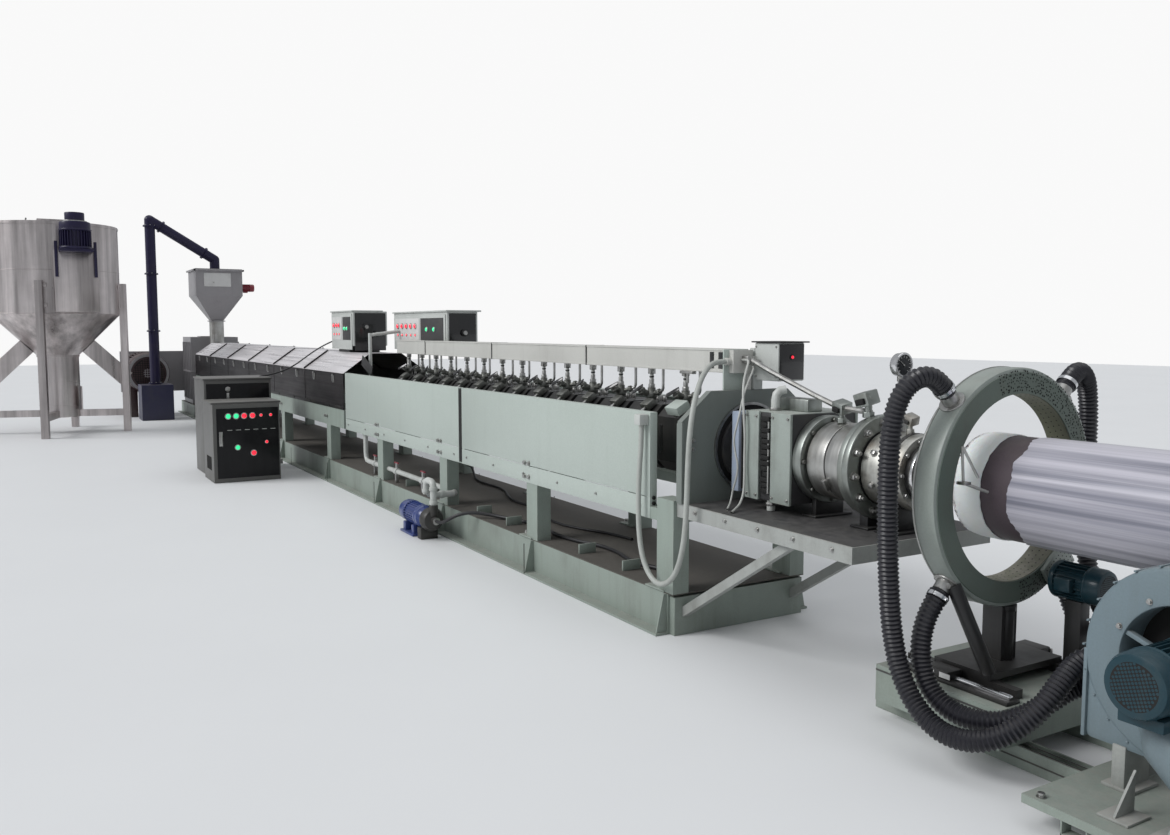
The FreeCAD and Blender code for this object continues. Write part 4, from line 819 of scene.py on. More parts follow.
def evenly(line, pitch):
    """The line's points at an even pitch."""
    whole = sum((after - before).length for before, after in zip(line, line[1:]))
    step = whole / round(whole / pitch)
    spots, walked, wanted = [line[0]], 0.0, step
    for before, after in zip(line, line[1:]):
        run = (after - before).length
        while run and walked + run >= wanted - 1e-9:
            spots.append(before.lerp(after, (wanted - walked) / run))
            wanted += step
        walked += run
    return spots


HOSES = {"hose_front_upper": 2.268, "hose_front_lower": 1.059, "hose_rear_upper": 1.963, "hose_rear_lower": 1.042}


class LINE_OT_hoses(bpy.types.Operator):
    """Ribbed air hoses from the air ring to the blower's manifold, with their strap clamps"""

    bl_idname = "line.hoses"
    bl_label = "Air Hoses"

    def execute(self, context):
        radius = sizes().hose / 2
        clamps = Shape()
        for name, length in HOSES.items():
            spots = evenly(route_line(name), sizes().rib_pitch / 2)
            rib = [radius if number % 2 else radius * 0.84 for number in range(len(spots))]
            hose = Shape().sweep(spots, rib, sides=20)
            made = hose.piece(f"{name}_ribbed", ["hose_black"], replaces=[name], slot="hose_black", smooth=40)
            for near, far in ((spots[3], spots[6]), (spots[-4], spots[-7])):
                along = (far - near).normalized()
                band = [(radius * 1.0, -0.008), (radius * 1.05, -0.008), (radius * 1.05, 0.008),
                        (radius * 1.0, 0.008)]
                clamps.turned(band, near, along, 0, 32)
                screw = aim(near, along)
                clamps.block((radius * 1.0, -0.009, -0.007), (radius * 1.22, 0.009, 0.007), 0, 0.002, screw)
        clamps.piece("hose_clamps", ["bright_strip"], slot="bare_steel")
        return {"FINISHED"}


PLAIN_CORDS = {
    "conduit_loop": (0.028, 2.360, "stiff", "hanging", "conduit_grey"),
    "block_cable": (0.012, 1.026, "medium", "hanging", "cable_white"),
    "loop_cable": (0.010, 0.978, "medium", "hanging", "cable_white"),
    "deck_hose": (0.026, 2.596, "medium", "loose", "cable_black"),
    "deck_cable": (0.020, 3.442, "medium", "loose", "cable_black"),
    "cover_cable": (0.016, 1.102, "medium", "hanging", "cable_black"),
}


class LINE_OT_cables(bpy.types.Operator):
    """The cable loop, the heater block's cables and the lines on the deck"""

    bl_idname = "line.cables"
    bl_label = "Cables"

    def execute(self, context):
        for name, (diameter, length, stiffness, lay, skin) in PLAIN_CORDS.items():
            made = route_curve(name, diameter)
            made.name = f"{name}_cord"
            made.data.materials.append(finish(skin))
            settle(made, LINE, [name])
        return {"FINISHED"}


# ---- skid, panels and barrel ----

FRAME_BAYS = [-0.03 - 1.525 * number for number in range(4)]
COVER_BAYS = [-6.28 - 2.0 * number for number in range(5)]
JACKETS = [-0.34 - 0.34 * number for number in range(14)]


class LINE_OT_skid(bpy.types.Operator):
    """Paint on the skid and its frame, with bolted feet, cap plates, rivets and rail bolts"""

    bl_idname = "line.skid"
    bl_label = "Skid and Frame"

    def execute(self, context):
        coat("skid_green", "skid_beams", "skid_gussets", "cross_beams", "posts", "upper_rails", "cradles",
             "floor_rails", "trolleys", "mandrel_stand")
        coat("deck_brown", "deck")
        made = Shape()
        across = sizes().bolt
        head = bolt(across * 0.8)
        for start in FRAME_BAYS + COVER_BAYS:
            for side in SIDES:
                out = side * 0.45
                base = (start - 0.015, out - side * 0.115, 0.221)
                top = (start - 0.165 + 0.015, out + side * 0.012, 0.231)
                low = [min(a, b) for a, b in zip(base, top)]
                high = [max(a, b) for a, b in zip(base, top)]
                made.block((low[0] - 0.02, low[1], 0.221), (high[0] + 0.02, high[1], 0.231), 0, 0.003)
                for along in (start - 0.005, start - 0.175):
                    made.add(head, Matrix.Translation((along, out - side * 0.05, 0.230)), 1)
        for start in FRAME_BAYS[1:]:
            for side in SIDES:
                for step in (0.035, 0.095):
                    for rise in (0.63, 0.72):
                        made.add(head, aim((start - step, side * 0.4505, rise), (0, side, 0)), 1)
        for start in COVER_BAYS:
            for side in SIDES:
                for step in (0.04, 0.11):
                    made.add(head, aim((start - step, side * 0.4505, 0.68), (0, side, 0)), 1)
        low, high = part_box("skid_beams")
        seam = Shape().block((-0.004, -0.001, 0.006), (0.004, 0.001, 0.206), 0)
        for start in range(1, 11):
            for side in SIDES:
                made.add(seam, Matrix.Translation((high.x - 1.525 * start, side * 0.5255, 0)), 2)
        rib = Shape().block((0, -0.06, 0), (0.012, 0.06, 0.06), 0, 0.002)
        for start in FRAME_BAYS[:3]:
            for step in (0.5, 1.0):
                made.add(rib, Matrix.Translation((start - step, -0.34, 0.2212)), 0)
        made.piece("skid_fittings", ["skid_green", "bolt_steel", "hole_black"], slot="frame_green")
        return {"FINISHED"}


class LINE_OT_panels(bpy.types.Operator):
    """Folded sheet panels that hide the barrel's heaters, with latches and a cable gland box"""

    bl_idname = "line.panels"
    bl_label = "Side Panels"

    def execute(self, context):
        made = Shape()
        edge = sizes().edge
        for side in SIDES:
            for start, end in ((-2.70, -0.17), (-5.65, -2.76)):
                face = side * 0.453
                inner = side * 0.449
                low_y, high_y = sorted((face, inner))
                made.block((start, low_y, 0.706), (end, high_y, 1.16), 0, 0.0018)
                made.block((start, low_y, 0.59), (end, high_y, 0.702), 0, 0.0018)
                fold = sorted((side * 0.4525, side * 0.405))
                made.block((start, fold[0], 1.148), (end, fold[1], 1.1595), 0, edge * 0.8)
                for edge_at in (start, end - 0.045):
                    made.block((edge_at, fold[0], 0.592), (edge_at + 0.045, fold[1], 1.158), 0, edge)
                screw = bolt(0.012)
                for number in range(6):
                    along = start + 0.09 + (end - start - 0.18) * number / 5
                    made.add(screw, aim((along, face, 0.645), (0, side, 0)), 1)
            # A near-black strip set back in the gap between the two panels: painted shade between them.
            strip = sorted((side * 0.452, side * 0.44))
            made.block((-2.755, strip[0], 0.60), (-2.705, strip[1], 1.15), 2)
            for rise in (0.64, 0.67, 0.70):
                made.rod((-0.1715, side * 0.43, rise), (-0.160, side * 0.43, rise), 0.011, 2, 10, 0.002)
        made.block((-0.239, -0.513, 1.091), (-0.181, -0.4535, 1.149), 3, 0.006)
        made.rod((-0.21, -0.483, 1.0905), (-0.21, -0.483, 1.103), 0.019, 2, 12, 0.002)
        made.rod((-0.24, -0.483, 1.12), (-0.2405, -0.483, 1.12), 0.008, 1, 12)
        made.piece("side_panels_folded", ["machine_green", "bolt_steel", "hole_black", "white_box"],
                   replaces=["side_panels"], slot="machine_green")
        return {"FINISHED"}


class LINE_OT_barrel(bpy.types.Operator):
    """The barrel's steel, its heater jackets with clamp bands, and the sheet cover with its latches"""

    bl_idname = "line.barrel"
    bl_label = "Barrel and Cover"

    def execute(self, context):
        coat("bare_steel", "barrel", "feed_housing")
        coat("black_paint", "barrel_jackets")
        coat("cover_steel", "barrel_cover")
        bands = Shape()
        lug = Shape().block((-0.012, -0.02, 0), (0.012, 0.02, 0.034), 0, 0.003)
        lug.rod((-0.03, 0, 0.02), (0.03, 0, 0.02), 0.006, 0, 8)
        for centre in JACKETS:
            for step in (-0.115, 0.115):
                at = centre + step
                bands.rod((at - 0.012, 0, AXIS_UP), (at + 0.012, 0, AXIS_UP), 0.2025, 0, 8, 0, roll=math.pi / 8)
                bands.add(lug, Matrix.Translation((at, 0.06, AXIS_UP + 0.186)), 1)
            tilt = Matrix.Translation((centre + 0.06, -0.155, AXIS_UP + 0.165)) @ Matrix.Rotation(0.6, 4, "X")
            bands.block((-0.04, -0.03, 0), (0.04, 0.035, 0.042), 2, 0.006, tilt)
            bands.rod((centre + 0.06, -0.185, AXIS_UP + 0.16), (centre + 0.06, -0.215, AXIS_UP + 0.14), 0.012, 1, 10)
            for out in (-0.06, -0.02, 0.03):
                bands.rod((centre - 0.05, out, AXIS_UP + 0.184), (centre - 0.05, out, AXIS_UP + 0.215), 0.012, 1, 6, 0.002)
        tilt = Matrix.Translation((-0.235, -0.20, AXIS_UP + 0.17)) @ Matrix.Rotation(0.5, 4, "X")
        bands.block((-0.075, -0.05, 0), (0.04, 0.04, 0.05), 3, 0.005, tilt)
        bands.piece("jacket_bands", ["black_gloss", "bolt_steel", "dull_cast", "machine_green"], slot="black_paint")

        trim = Shape()
        low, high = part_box("barrel_cover")
        latch = Shape().block((-0.03, -0.006, -0.045), (0.03, 0.0, 0.03), 0, 0.003)
        latch.block((-0.012, -0.016, -0.03), (0.012, -0.004, 0.045), 0, 0.003)
        latch.rod((-0.022, -0.013, 0.03), (0.022, -0.013, 0.03), 0.005, 0, 8)
        for number in range(12):
            along = high.x - 0.35 - 0.74 * number
            for side in SIDES:
                spin = Matrix.Translation((along, side * 0.4505, 1.09)) @ Matrix.Rotation(
                    0 if side < 0 else math.pi, 4, "Z")
                trim.add(latch, spin, 1)
                trim.rod((along - 0.15, side * 0.4505, 0.80), (along - 0.15, side * 0.462, 0.80), 0.012, 2, 8)
        for number in range(1, 6):
            along = high.x - 1.5 * number
            for side in SIDES:
                face = sorted((side * 0.4502, side * 0.4535))
                trim.block((along - 0.018, face[0], low.z + 0.01), (along + 0.018, face[1], 1.148), 0, 0.001)
                ridge = [Vector((along, side * 0.451, 1.151)), Vector((along, side * 0.171, 1.3515))]
                middle = (ridge[0] + ridge[1]) / 2
                slope = aim(middle, ridge[1] - ridge[0], 0)
                length = (ridge[1] - ridge[0]).length / 2
                trim.block((-0.018, -0.0025, -length), (0.018, 0.0025, length), 0, 0.001,
                           slope @ Matrix.Rotation(math.pi / 2, 4, "Z"))
            trim.block((along - 0.018, -0.171, 1.3495), (along + 0.018, 0.171, 1.3535), 0, 0.001)
        for side in SIDES:
            lip = sorted((side * 0.449, side * 0.4575))
            trim.block((low.x, lip[0], 1.143), (high.x, lip[1], 1.153), 0, 0.003)
            lip = sorted((side * 0.449, side * 0.455))
            trim.block((low.x, lip[0], low.z), (high.x, lip[1], low.z + 0.035), 2, 0.002)
        trim.rod((high.x - 1.0, -0.12, 1.356), (high.x - 1.0, 0.12, 1.356), 0.008, 1, 10)
        trim.piece("cover_trim", ["cover_steel", "bolt_steel", "black_paint"], slot="stainless")
        return {"FINISHED"}


class LINE_OT_valves(bpy.types.Operator):
    """Cast cooling valves on the barrel with their levers, unions and conduits"""

    bl_idname = "line.valves"
    bl_label = "Cooling Valves"

    def execute(self, context):
        valve = Shape()
        up = Z_AXIS
        valve.rod((0, 0, -0.008), (0, 0, 0.014), 0.038, 0, 6, 0.003)
        cast = [(0, 0.0), (0.024, 0.0), (0.024, 0.02), (0.031, 0.03), (0.034, 0.045), (0.031, 0.06),
                (0.024, 0.07), (0.024, 0.09), (0, 0.09)]
        valve.turned(cast, (0, 0, 0), up, 0, 20)
        arm = Vector((0.28, -0.88, 0.38)).normalized()
        valve.rod((0, 0, 0.045), Vector((0, 0, 0.045)) + arm * 0.075, 0.018, 0, 14, 0.003)
        valve.rod(Vector((0, 0, 0.045)) + arm * 0.06, Vector((0, 0, 0.045)) + arm * 0.082, 0.026, 0, 6, 0.003)
        valve.rod(Vector((0, 0, 0.045)) + arm * 0.08, Vector((0, 0, 0.045)) + arm * 0.10, 0.011, 1, 10)
        valve.block((-0.05, -0.012, 0.0), (0.05, 0.012, 0.007), 3, 0.003,
                    aim(Vector((0, 0, 0.045)) + arm * 0.10, arm, 0.5))
        valve.rod((0.0, 0.0, 0.05), (0.052, 0.028, 0.066), 0.013, 0, 12, 0.002)
        valve.rod((0.046, 0.025, 0.064), (0.066, 0.036, 0.070), 0.02, 0, 6, 0.002)
        valve.rod((0, 0, 0.086), (0, 0, 0.112), 0.021, 1, 6, 0.002)
        valve.rod((0, 0, 0.108), (0, 0, 0.14), 0.015, 1, 12, 0.002)
        valve.rod((0, 0, 0.13), (0, 0, 0.206), 0.0115, 2, 12)
        valve.rod((0, 0, 0.150), (0, 0, 0.160), 0.0145, 3, 12, 0.001)
        valve.rod((0, 0, 0.190), (0, 0, 0.206), 0.019, 1, 12, 0.002)
        side_pipe = [(0.066, 0.036, 0.07), (0.082, 0.045, 0.077), (0.089, 0.048, 0.092), (0.09, 0.048, 0.11),
                     (0.09, 0.048, 0.205)]
        valve.sweep(side_pipe, [0.0085] * len(side_pipe), 1, 10)
        made = Shape()
        pick = random.Random(7)
        for centre in JACKETS:
            turn = Matrix.Rotation(pick.uniform(-0.5, 0.35), 4, "Z")
            made.add(valve, Matrix.Translation((centre, -0.1, 1.165)) @ turn)
        made.piece("cooling_valves", ["dull_cast", "bolt_steel", "cable_white", "black_gloss"],
                   replaces=["valve_sets"], slot="bare_steel")
        return {"FINISHED"}


class LINE_OT_trunk(bpy.types.Operator):
    """The cable tray over the barrel, with its lid, joints and clips"""

    bl_idname = "line.trunk"
    bl_label = "Cable Tray"

    def execute(self, context):
        coat("cream_paint", "cable_trunk")
        made = Shape()
        made.block((-5.052, -0.1185, 1.484), (0.058, 0.0185, 1.4945), 0, 0.002)
        for start in (-2.88, -4.3, -1.42):
            made.block((start - 0.006, -0.1195, 1.3665), (start + 0.006, 0.0195, 1.4955), 1, 0.001)
        made.block((-5.05, -0.1165, 1.3685), (0.058, -0.1135, 1.381), 0, 0.001)
        clip = Shape().block((-0.014, -0.019, -0.034), (0.014, 0.019, 0), 0, 0.003)
        for centre in JACKETS:
            made.add(clip, Matrix.Translation((centre, -0.1, 1.371)), 2)
        for start, stop in ((-0.10, -0.065), (-0.025, 0.012)):
            made.block((start, -0.1178, 1.39), (stop, -0.1155, 1.478), 1, 0.001)
        made.rod((-0.3, -0.116, 1.366), (-0.3, -0.116, 1.30), 0.008, 2, 10)
        made.block((-0.36, -0.13, 1.352), (-0.24, -0.10, 1.368), 2, 0.003)
        made.block((0.052, -0.148, 1.096), (0.062, 0.016, 1.494), 3, 0.002)
        made.piece("tray_fittings", ["cream_paint", "black_gloss", "bolt_steel", "machine_green"],
                   slot="cream_paint")
        return {"FINISHED"}


# ---- die end ----


class LINE_OT_sensor(bpy.types.Operator):
    """The sensor box over the die end: pale case, dark window and a thin roof"""

    bl_idname = "line.sensor"
    bl_label = "Sensor Box"

    def execute(self, context):
        made = Shape()
        made.block((0.06, 0.0255, 1.28), (0.0995, 0.0845, 1.50), 0, 0.004)
        made.block((0.10, 0.0255, 1.331), (0.288, 0.2045, 1.529), 0, 0.008)
        made.block((0.2795, 0.033, 1.338), (0.2905, 0.197, 1.522), 1, 0.002)
        made.block((0.085, 0.0145, 1.529), (0.3135, 0.2155, 1.5365), 2, 0.002)
        for along in (0.115, 0.272):
            for rise in (1.352, 1.508):
                made.add(bolt(0.008), aim((along, 0.0253, rise), (0, -1, 0)), 3)
        made.rod((0.29, 0.115, 1.455), (0.295, 0.115, 1.455), 0.014, 2, 16, 0.001)
        made.piece("sensor_case", ["white_box", "black_gloss", "black_paint", "bolt_steel"],
                   replaces=["sensor_box"], slot="control_white")
        glow = Shape()
        glow.rod((0.294, 0.115, 1.455), (0.2985, 0.115, 1.455), 0.008, 0, 16, 0.0015)
        glow.piece("sensor_light", ["lamp_red"], slot="control_white")
        strut = Shape()
        strut.sweep([(0.14, -0.03, 1.44), (0.30, -0.035, 1.385), (0.62, -0.04, 1.285), (0.80, -0.045, 1.235),
                     (1.0, -0.05, 1.228)], [0.014] * 5, 0, 8)
        strut.block((0.42, -0.075, 1.20), (0.62, 0.02, 1.262), 1, 0.006)
        strut.block((0.098, -0.06, 1.42), (0.15, 0.0, 1.46), 0, 0.004)
        strut.piece("sensor_strut", ["bolt_steel", "flange_steel"], slot="control_white")
        return {"FINISHED"}


class LINE_OT_adapter(bpy.types.Operator):
    """The end plate's green, darkened with painted shade, the adapter plate and the heater block behind its two front
    plates
    """

    bl_idname = "line.adapter"
    bl_label = "Adapter and Heater Block"

    def execute(self, context):
        coat("end_plate_shade_green", "end_plate")
        plate = Shape()
        for rise in (1.03, 0.985):
            for out in (-0.40, -0.37):
                plate.add(bolt(0.016), aim((0.1, out, rise), X_AXIS), 1)
        plate.block((0.056, -0.4435, 0.712), (0.1035, -0.428, 1.12), 0, 0.003)
        plate.rod((0.0995, 0, AXIS_UP), (0.103, 0, AXIS_UP), 0.235, 2, 48)
        plate.turned([(0.222, 0), (0.236, 0), (0.236, 0.008), (0.222, 0.008)], (0.1025, 0, AXIS_UP), X_AXIS, 1, 64)
        plate.piece("end_plate_fittings", ["end_plate_shade_green", "bolt_steel", "hole_black"], slot="frame_green")

        joint = Shape()
        joint.turned([(0, 0), (0.19, 0), (0.19, 0.02), (0.15, 0.026), (0.15, 0.10), (0, 0.10)],
                     (0.1032, 0, AXIS_UP), X_AXIS, 1, 48)
        joint.block((0.205, -0.2045, 0.7755), (0.262, 0.2045, 1.1845), 0, 0.007)
        joint.block((0.262, -0.19, 0.79), (0.269, 0.19, 1.17), 1, 0.003)
        for side in SIDES:
            for rise in (0.81, 0.98, 1.15):
                joint.add(bolt(0.024), aim((0.205, side * 0.17, rise), (-1, 0, 0)), 2)
        joint.piece("adapter_plate", ["plate_blue", "table_dark", "bolt_steel"], replaces=["adapter"],
                    slot="bare_steel")

        block = Shape()
        block.rod((0.270, 0, AXIS_UP), (0.335, 0, AXIS_UP), 0.15, 1, 40)
        block.block((0.333, -0.204, 0.764), (0.656, 0.204, 1.196), 1, 0.004)
        for side in SIDES:
            face = sorted((side * 0.2195, side * 0.2035))
            block.block((0.330, face[0], 0.7605), (0.432, face[1], 1.199), 0, 0.004)
            block.block((0.520, face[0], 0.7605), (0.660, face[1], 1.199), 0, 0.004)
            for along in (0.347, 0.416, 0.536, 0.644):
                for rise in (0.785, 1.175):
                    block.add(bolt(0.011), aim((along, side * 0.2195, rise), (0, side, 0)), 2)
            pick = random.Random(3)
            for number in range(14):
                rise = 0.80 + number * 0.027
                wide = pick.uniform(0.016, 0.034)
                middle = 0.476 + pick.uniform(-0.008, 0.008)
                block.block((middle - wide, min(face), rise), (middle + wide, max(face) + 0.002, rise + 0.024),
                            3, 0.004)
            block.rod((0.50, side * 0.213, 0.80), (0.50, side * 0.213, 1.16), 0.006, 2, 8)
            block.rod((0.452, side * 0.215, 0.80), (0.452, side * 0.215, 1.10), 0.005, 3, 8)
        block.block((0.340, -0.20, 1.193), (0.652, 0.20, 1.200), 0, 0.003)
        block.sweep([(0.45, -0.13, 1.195), (0.45, -0.13, 1.25), (0.452, -0.125, 1.28), (0.46, -0.11, 1.298),
                     (0.475, -0.085, 1.303)], [0.022] * 5, 4, 14)
        block.rod((0.45, -0.13, 1.198), (0.45, -0.13, 1.215), 0.031, 2, 6, 0.002)
        block.rod((0.47, -0.165, 0.708), (0.47, -0.165, 0.764), 0.021, 4, 14, 0.002)
        block.rod((0.47, -0.165, 0.735), (0.47, -0.165, 0.75), 0.03, 2, 6, 0.002)
        block.piece("heater_block_plates", ["block_green", "table_dark", "bolt_steel", "hole_black", "pipe_white"],
                    replaces=["heater_block"], slot="machine_green")
        return {"FINISHED"}


def sensor_head(shape, spot, lean, tall=0.06, size=0.03):
    """A temperature sensor's nipple and tilted connection head."""
    spot = Vector(spot)
    shape.rod(spot, spot + Z_AXIS * tall * 0.5, size * 0.7, 0, 6, 0.002)
    shape.rod(spot, spot + Z_AXIS * tall, size * 0.42, 0, 14)
    turn = Matrix.Translation(spot + Z_AXIS * tall) @ Matrix.Rotation(lean, 4, "Y") @ Matrix.Rotation(0.2, 4, "X")
    shape.block((-size, -size, 0), (size, size, size * 1.6), 0, 0.005, turn)
    shape.block((-size * 0.6, -size * 1.35, size * 0.3), (size * 0.6, -size * 0.9, size), 1, 0.004, turn)


class LINE_OT_die(bpy.types.Operator):
    """The static mixer, its flanges and studs, the stained die and the pressure gauge"""

    bl_idname = "line.die"
    bl_label = "Mixer, Flange and Die"

    def execute(self, context):
        centre = Vector((0, 0, AXIS_UP))

        def along(x):
            return centre + X_AXIS * x

        mixer = Shape()
        mixer.turned(soft_profile(0.058, 0.209, 0.006), along(0.661), X_AXIS, 0, 64)
        mixer.turned(soft_profile(0.018, 0.168, 0.003), along(0.718), X_AXIS, 1, 48)
        bolt_circle(mixer, bolt(0.02), along(0.7185), X_AXIS, 0.190, 8, 4)
        mixer.turned(soft_profile(0.112, 0.184, 0.004), along(0.734), X_AXIS, 3, 64)
        mixer.turned(soft_profile(0.007, 0.180, 0.001), along(0.8455), X_AXIS, 1, 48)
        mixer.turned(soft_profile(0.118, 0.184, 0.004), along(0.852), X_AXIS, 3, 64)
        for angle in (-0.5, 2.2):
            spot = along(0.849) + Vector((0, -math.cos(angle), math.sin(angle))) * 0.184
            mixer.block((-0.028, -0.012, -0.004), (0.028, 0.012, 0.022), 2, 0.003,
                        aim(spot, spot - along(0.849)) @ Matrix.Rotation(math.pi / 2, 4, "Z"))
        sensor_head(mixer, (0.80, -0.03, AXIS_UP + 0.182), 0.25, 0.05, 0.034)
        mixer.piece("static_mixer_body", ["flange_steel", "hole_black", "bolt_steel", "bare_steel", "dull_cast"],
                    replaces=["static_mixer"], slot="bare_steel")

        joint = Shape()
        joint.turned(soft_profile(0.036, 0.226, 0.005), along(0.971), X_AXIS, 0, 64)
        joint.turned(soft_profile(0.006, 0.214, 0.001), along(1.006), X_AXIS, 1, 64)
        joint.turned(soft_profile(0.038, 0.238, 0.006), along(1.011), X_AXIS, 0, 64)
        joint.turned(soft_profile(0.003, 0.17, 0.001), along(1.048), X_AXIS, 1, 64)
        bolt_circle(joint, bolt(sizes().bolt, nut=True), along(1.0475), X_AXIS, 0.203, 12, 2, 0.13)
        sensor_head(joint, (0.985, -0.05, AXIS_UP + 0.222), -0.22, 0.055, 0.04)
        joint.piece("coupling_joint", ["flange_steel", "hole_black", "bolt_steel"],
                    replaces=["coupling_flange"], slot="bare_steel")

        die = Shape()
        body = [(0, 0.0), (0.150, 0.0), (0.156, 0.004), (0.168, 0.012), (0.168, 0.205), (0.160, 0.22), (0, 0.22)]
        die.turned(body, along(1.05), X_AXIS, 0, 64)
        die.turned([(0.150, 0), (0.1705, 0), (0.1705, 0.022), (0.150, 0.022)], along(1.205), X_AXIS, 1, 64)
        die.block((-0.02, -0.012, 0), (0.02, 0.012, 0.03), 2, 0.003,
                  aim(along(1.216) + Vector((0, -0.118, 0.12)), (0, -1, 1)))
        die.turned(soft_profile(0.03, 0.128, 0.004), along(1.268), X_AXIS, 1, 56)
        die.turned(soft_profile(0.022, 0.131, 0.004), along(1.291), X_AXIS, 3, 56)
        die.turned(soft_profile(0.02, 0.127, 0.004), along(1.311), X_AXIS, 1, 56)
        die.turned(soft_profile(0.062, 0.105, 0.006), along(1.328), X_AXIS, 0, 48)
        die.rod(along(1.389), along(1.45), 0.10, 0, 48, 0.0, 0.07)
        bolt_circle(die, bolt(0.018), along(1.269), X_AXIS, 0.146, 10, 2)
        bolt_circle(die, bolt(0.014), along(1.390), X_AXIS, 0.088, 8, 2)
        for angle in (-0.35, 0.5, 2.7):
            spot = along(1.12) + Vector((0, -math.cos(angle), math.sin(angle))) * 0.167
            die.add(bolt(0.024), aim(spot, spot - along(1.12)), 2)
        sensor_head(die, (1.20, -0.02, AXIS_UP + 0.166), 0.35, 0.045, 0.026)
        die.piece("die_body", ["scorched_steel", "black_paint", "bolt_steel", "chrome"], replaces=["die"],
                  slot="bare_steel")

        gauge = Shape()
        middle = Vector((1.098, 0, 1.443))
        gauge.rod((1.12, 0, 1.147), (1.12, 0, 1.185), 0.03, 1, 6, 0.003)
        gauge.rod((1.12, 0, 1.18), (1.12, 0, 1.215), 0.022, 1, 20, 0.003)
        gauge.rod((1.12, 0, 1.21), (1.12, 0, 1.375), 0.019, 0, 20, 0.0, 0.012)
        gauge.rod((1.12, 0, 1.37), (1.12, 0, 1.392), 0.016, 1, 6, 0.002)
        case = [(0, 0), (0.046, 0), (0.051, 0.006), (0.052, 0.028), (0.055, 0.030), (0.055, 0.041),
                (0.052, 0.044), (0.046, 0.044), (0.044, 0.037), (0, 0.037)]
        gauge.turned(case, middle, X_AXIS, 0, 40)
        gauge.disc(middle + X_AXIS * 0.0378, X_AXIS, 0.0445, 2, 40)
        for number in range(11):
            angle = math.radians(225 - 27 * number)
            out = Vector((0, math.cos(angle), math.sin(angle)))
            gauge.block((-0.0012, -0.001, -0.004), (0.0012, 0.001, 0.004), 3,
                        0, aim(middle + X_AXIS * 0.0385 + out * 0.037, out))
        out = Vector((0, math.cos(2.5), math.sin(2.5)))
        gauge.block((-0.0012, -0.001, -0.008), (0.0012, 0.001, 0.03), 1, 0, aim(middle + X_AXIS * 0.040, out))
        gauge.rod(middle + X_AXIS * 0.038, middle + X_AXIS * 0.042, 0.004, 1, 12)
        gauge.piece("gauge_and_stem", ["chrome", "bolt_steel", "dial_face", "strip_white"],
                    replaces=["pressure_gauge"], slot="chrome")

        feet = Shape()
        for start, wide, radius in ((0.675, 0.03, 0.205), (0.985, 0.05, 0.232), (1.13, 0.05, 0.166)):
            under = AXIS_UP - radius
            feet.block((start, -0.09, 0.7068), (start + wide, 0.09, under + 0.03), 0, 0.003)
            feet.block((start - 0.03, -0.12, 0.7068), (start + wide + 0.03, 0.12, 0.7168), 0, 0.003)
        feet.piece("die_supports", ["black_paint"], slot="bare_steel")
        return {"FINISHED"}


class LINE_OT_table(bpy.types.Operator):
    """The die table's pale edges and its dark, worn top"""

    bl_idname = "line.table"
    bl_label = "Die Table"

    def execute(self, context):
        coat("table_edge", "die_table")
        low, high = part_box("die_table")
        made = Shape()
        made.block((low.x + 0.06, low.y + 0.012, high.z - 0.004), (high.x - 0.006, high.y - 0.012, high.z + 0.0008), 0)
        head = bolt(0.016)
        for number in range(5):
            along = low.x + 0.16 + 0.24 * number
            for side in SIDES:
                made.add(head, aim((along, side * high.y, high.z - 0.028), (0, side, 0)), 1)
        made.piece("table_top", ["table_dark", "bolt_steel"], slot="machine_green")
        return {"FINISHED"}


# ---- air ring, mandrel and film ----

RING_X = 1.61
RING_DEEP = 0.11
RING_OUT = 0.472
RING_HOLE = 0.373
STUB_ANGLE = math.radians(47)


def around(angle, radius, along):
    """A point about the machine's axis: angle 0 is +Y, a quarter turn is up."""
    return Vector((along, radius * math.cos(angle), AXIS_UP + radius * math.sin(angle)))


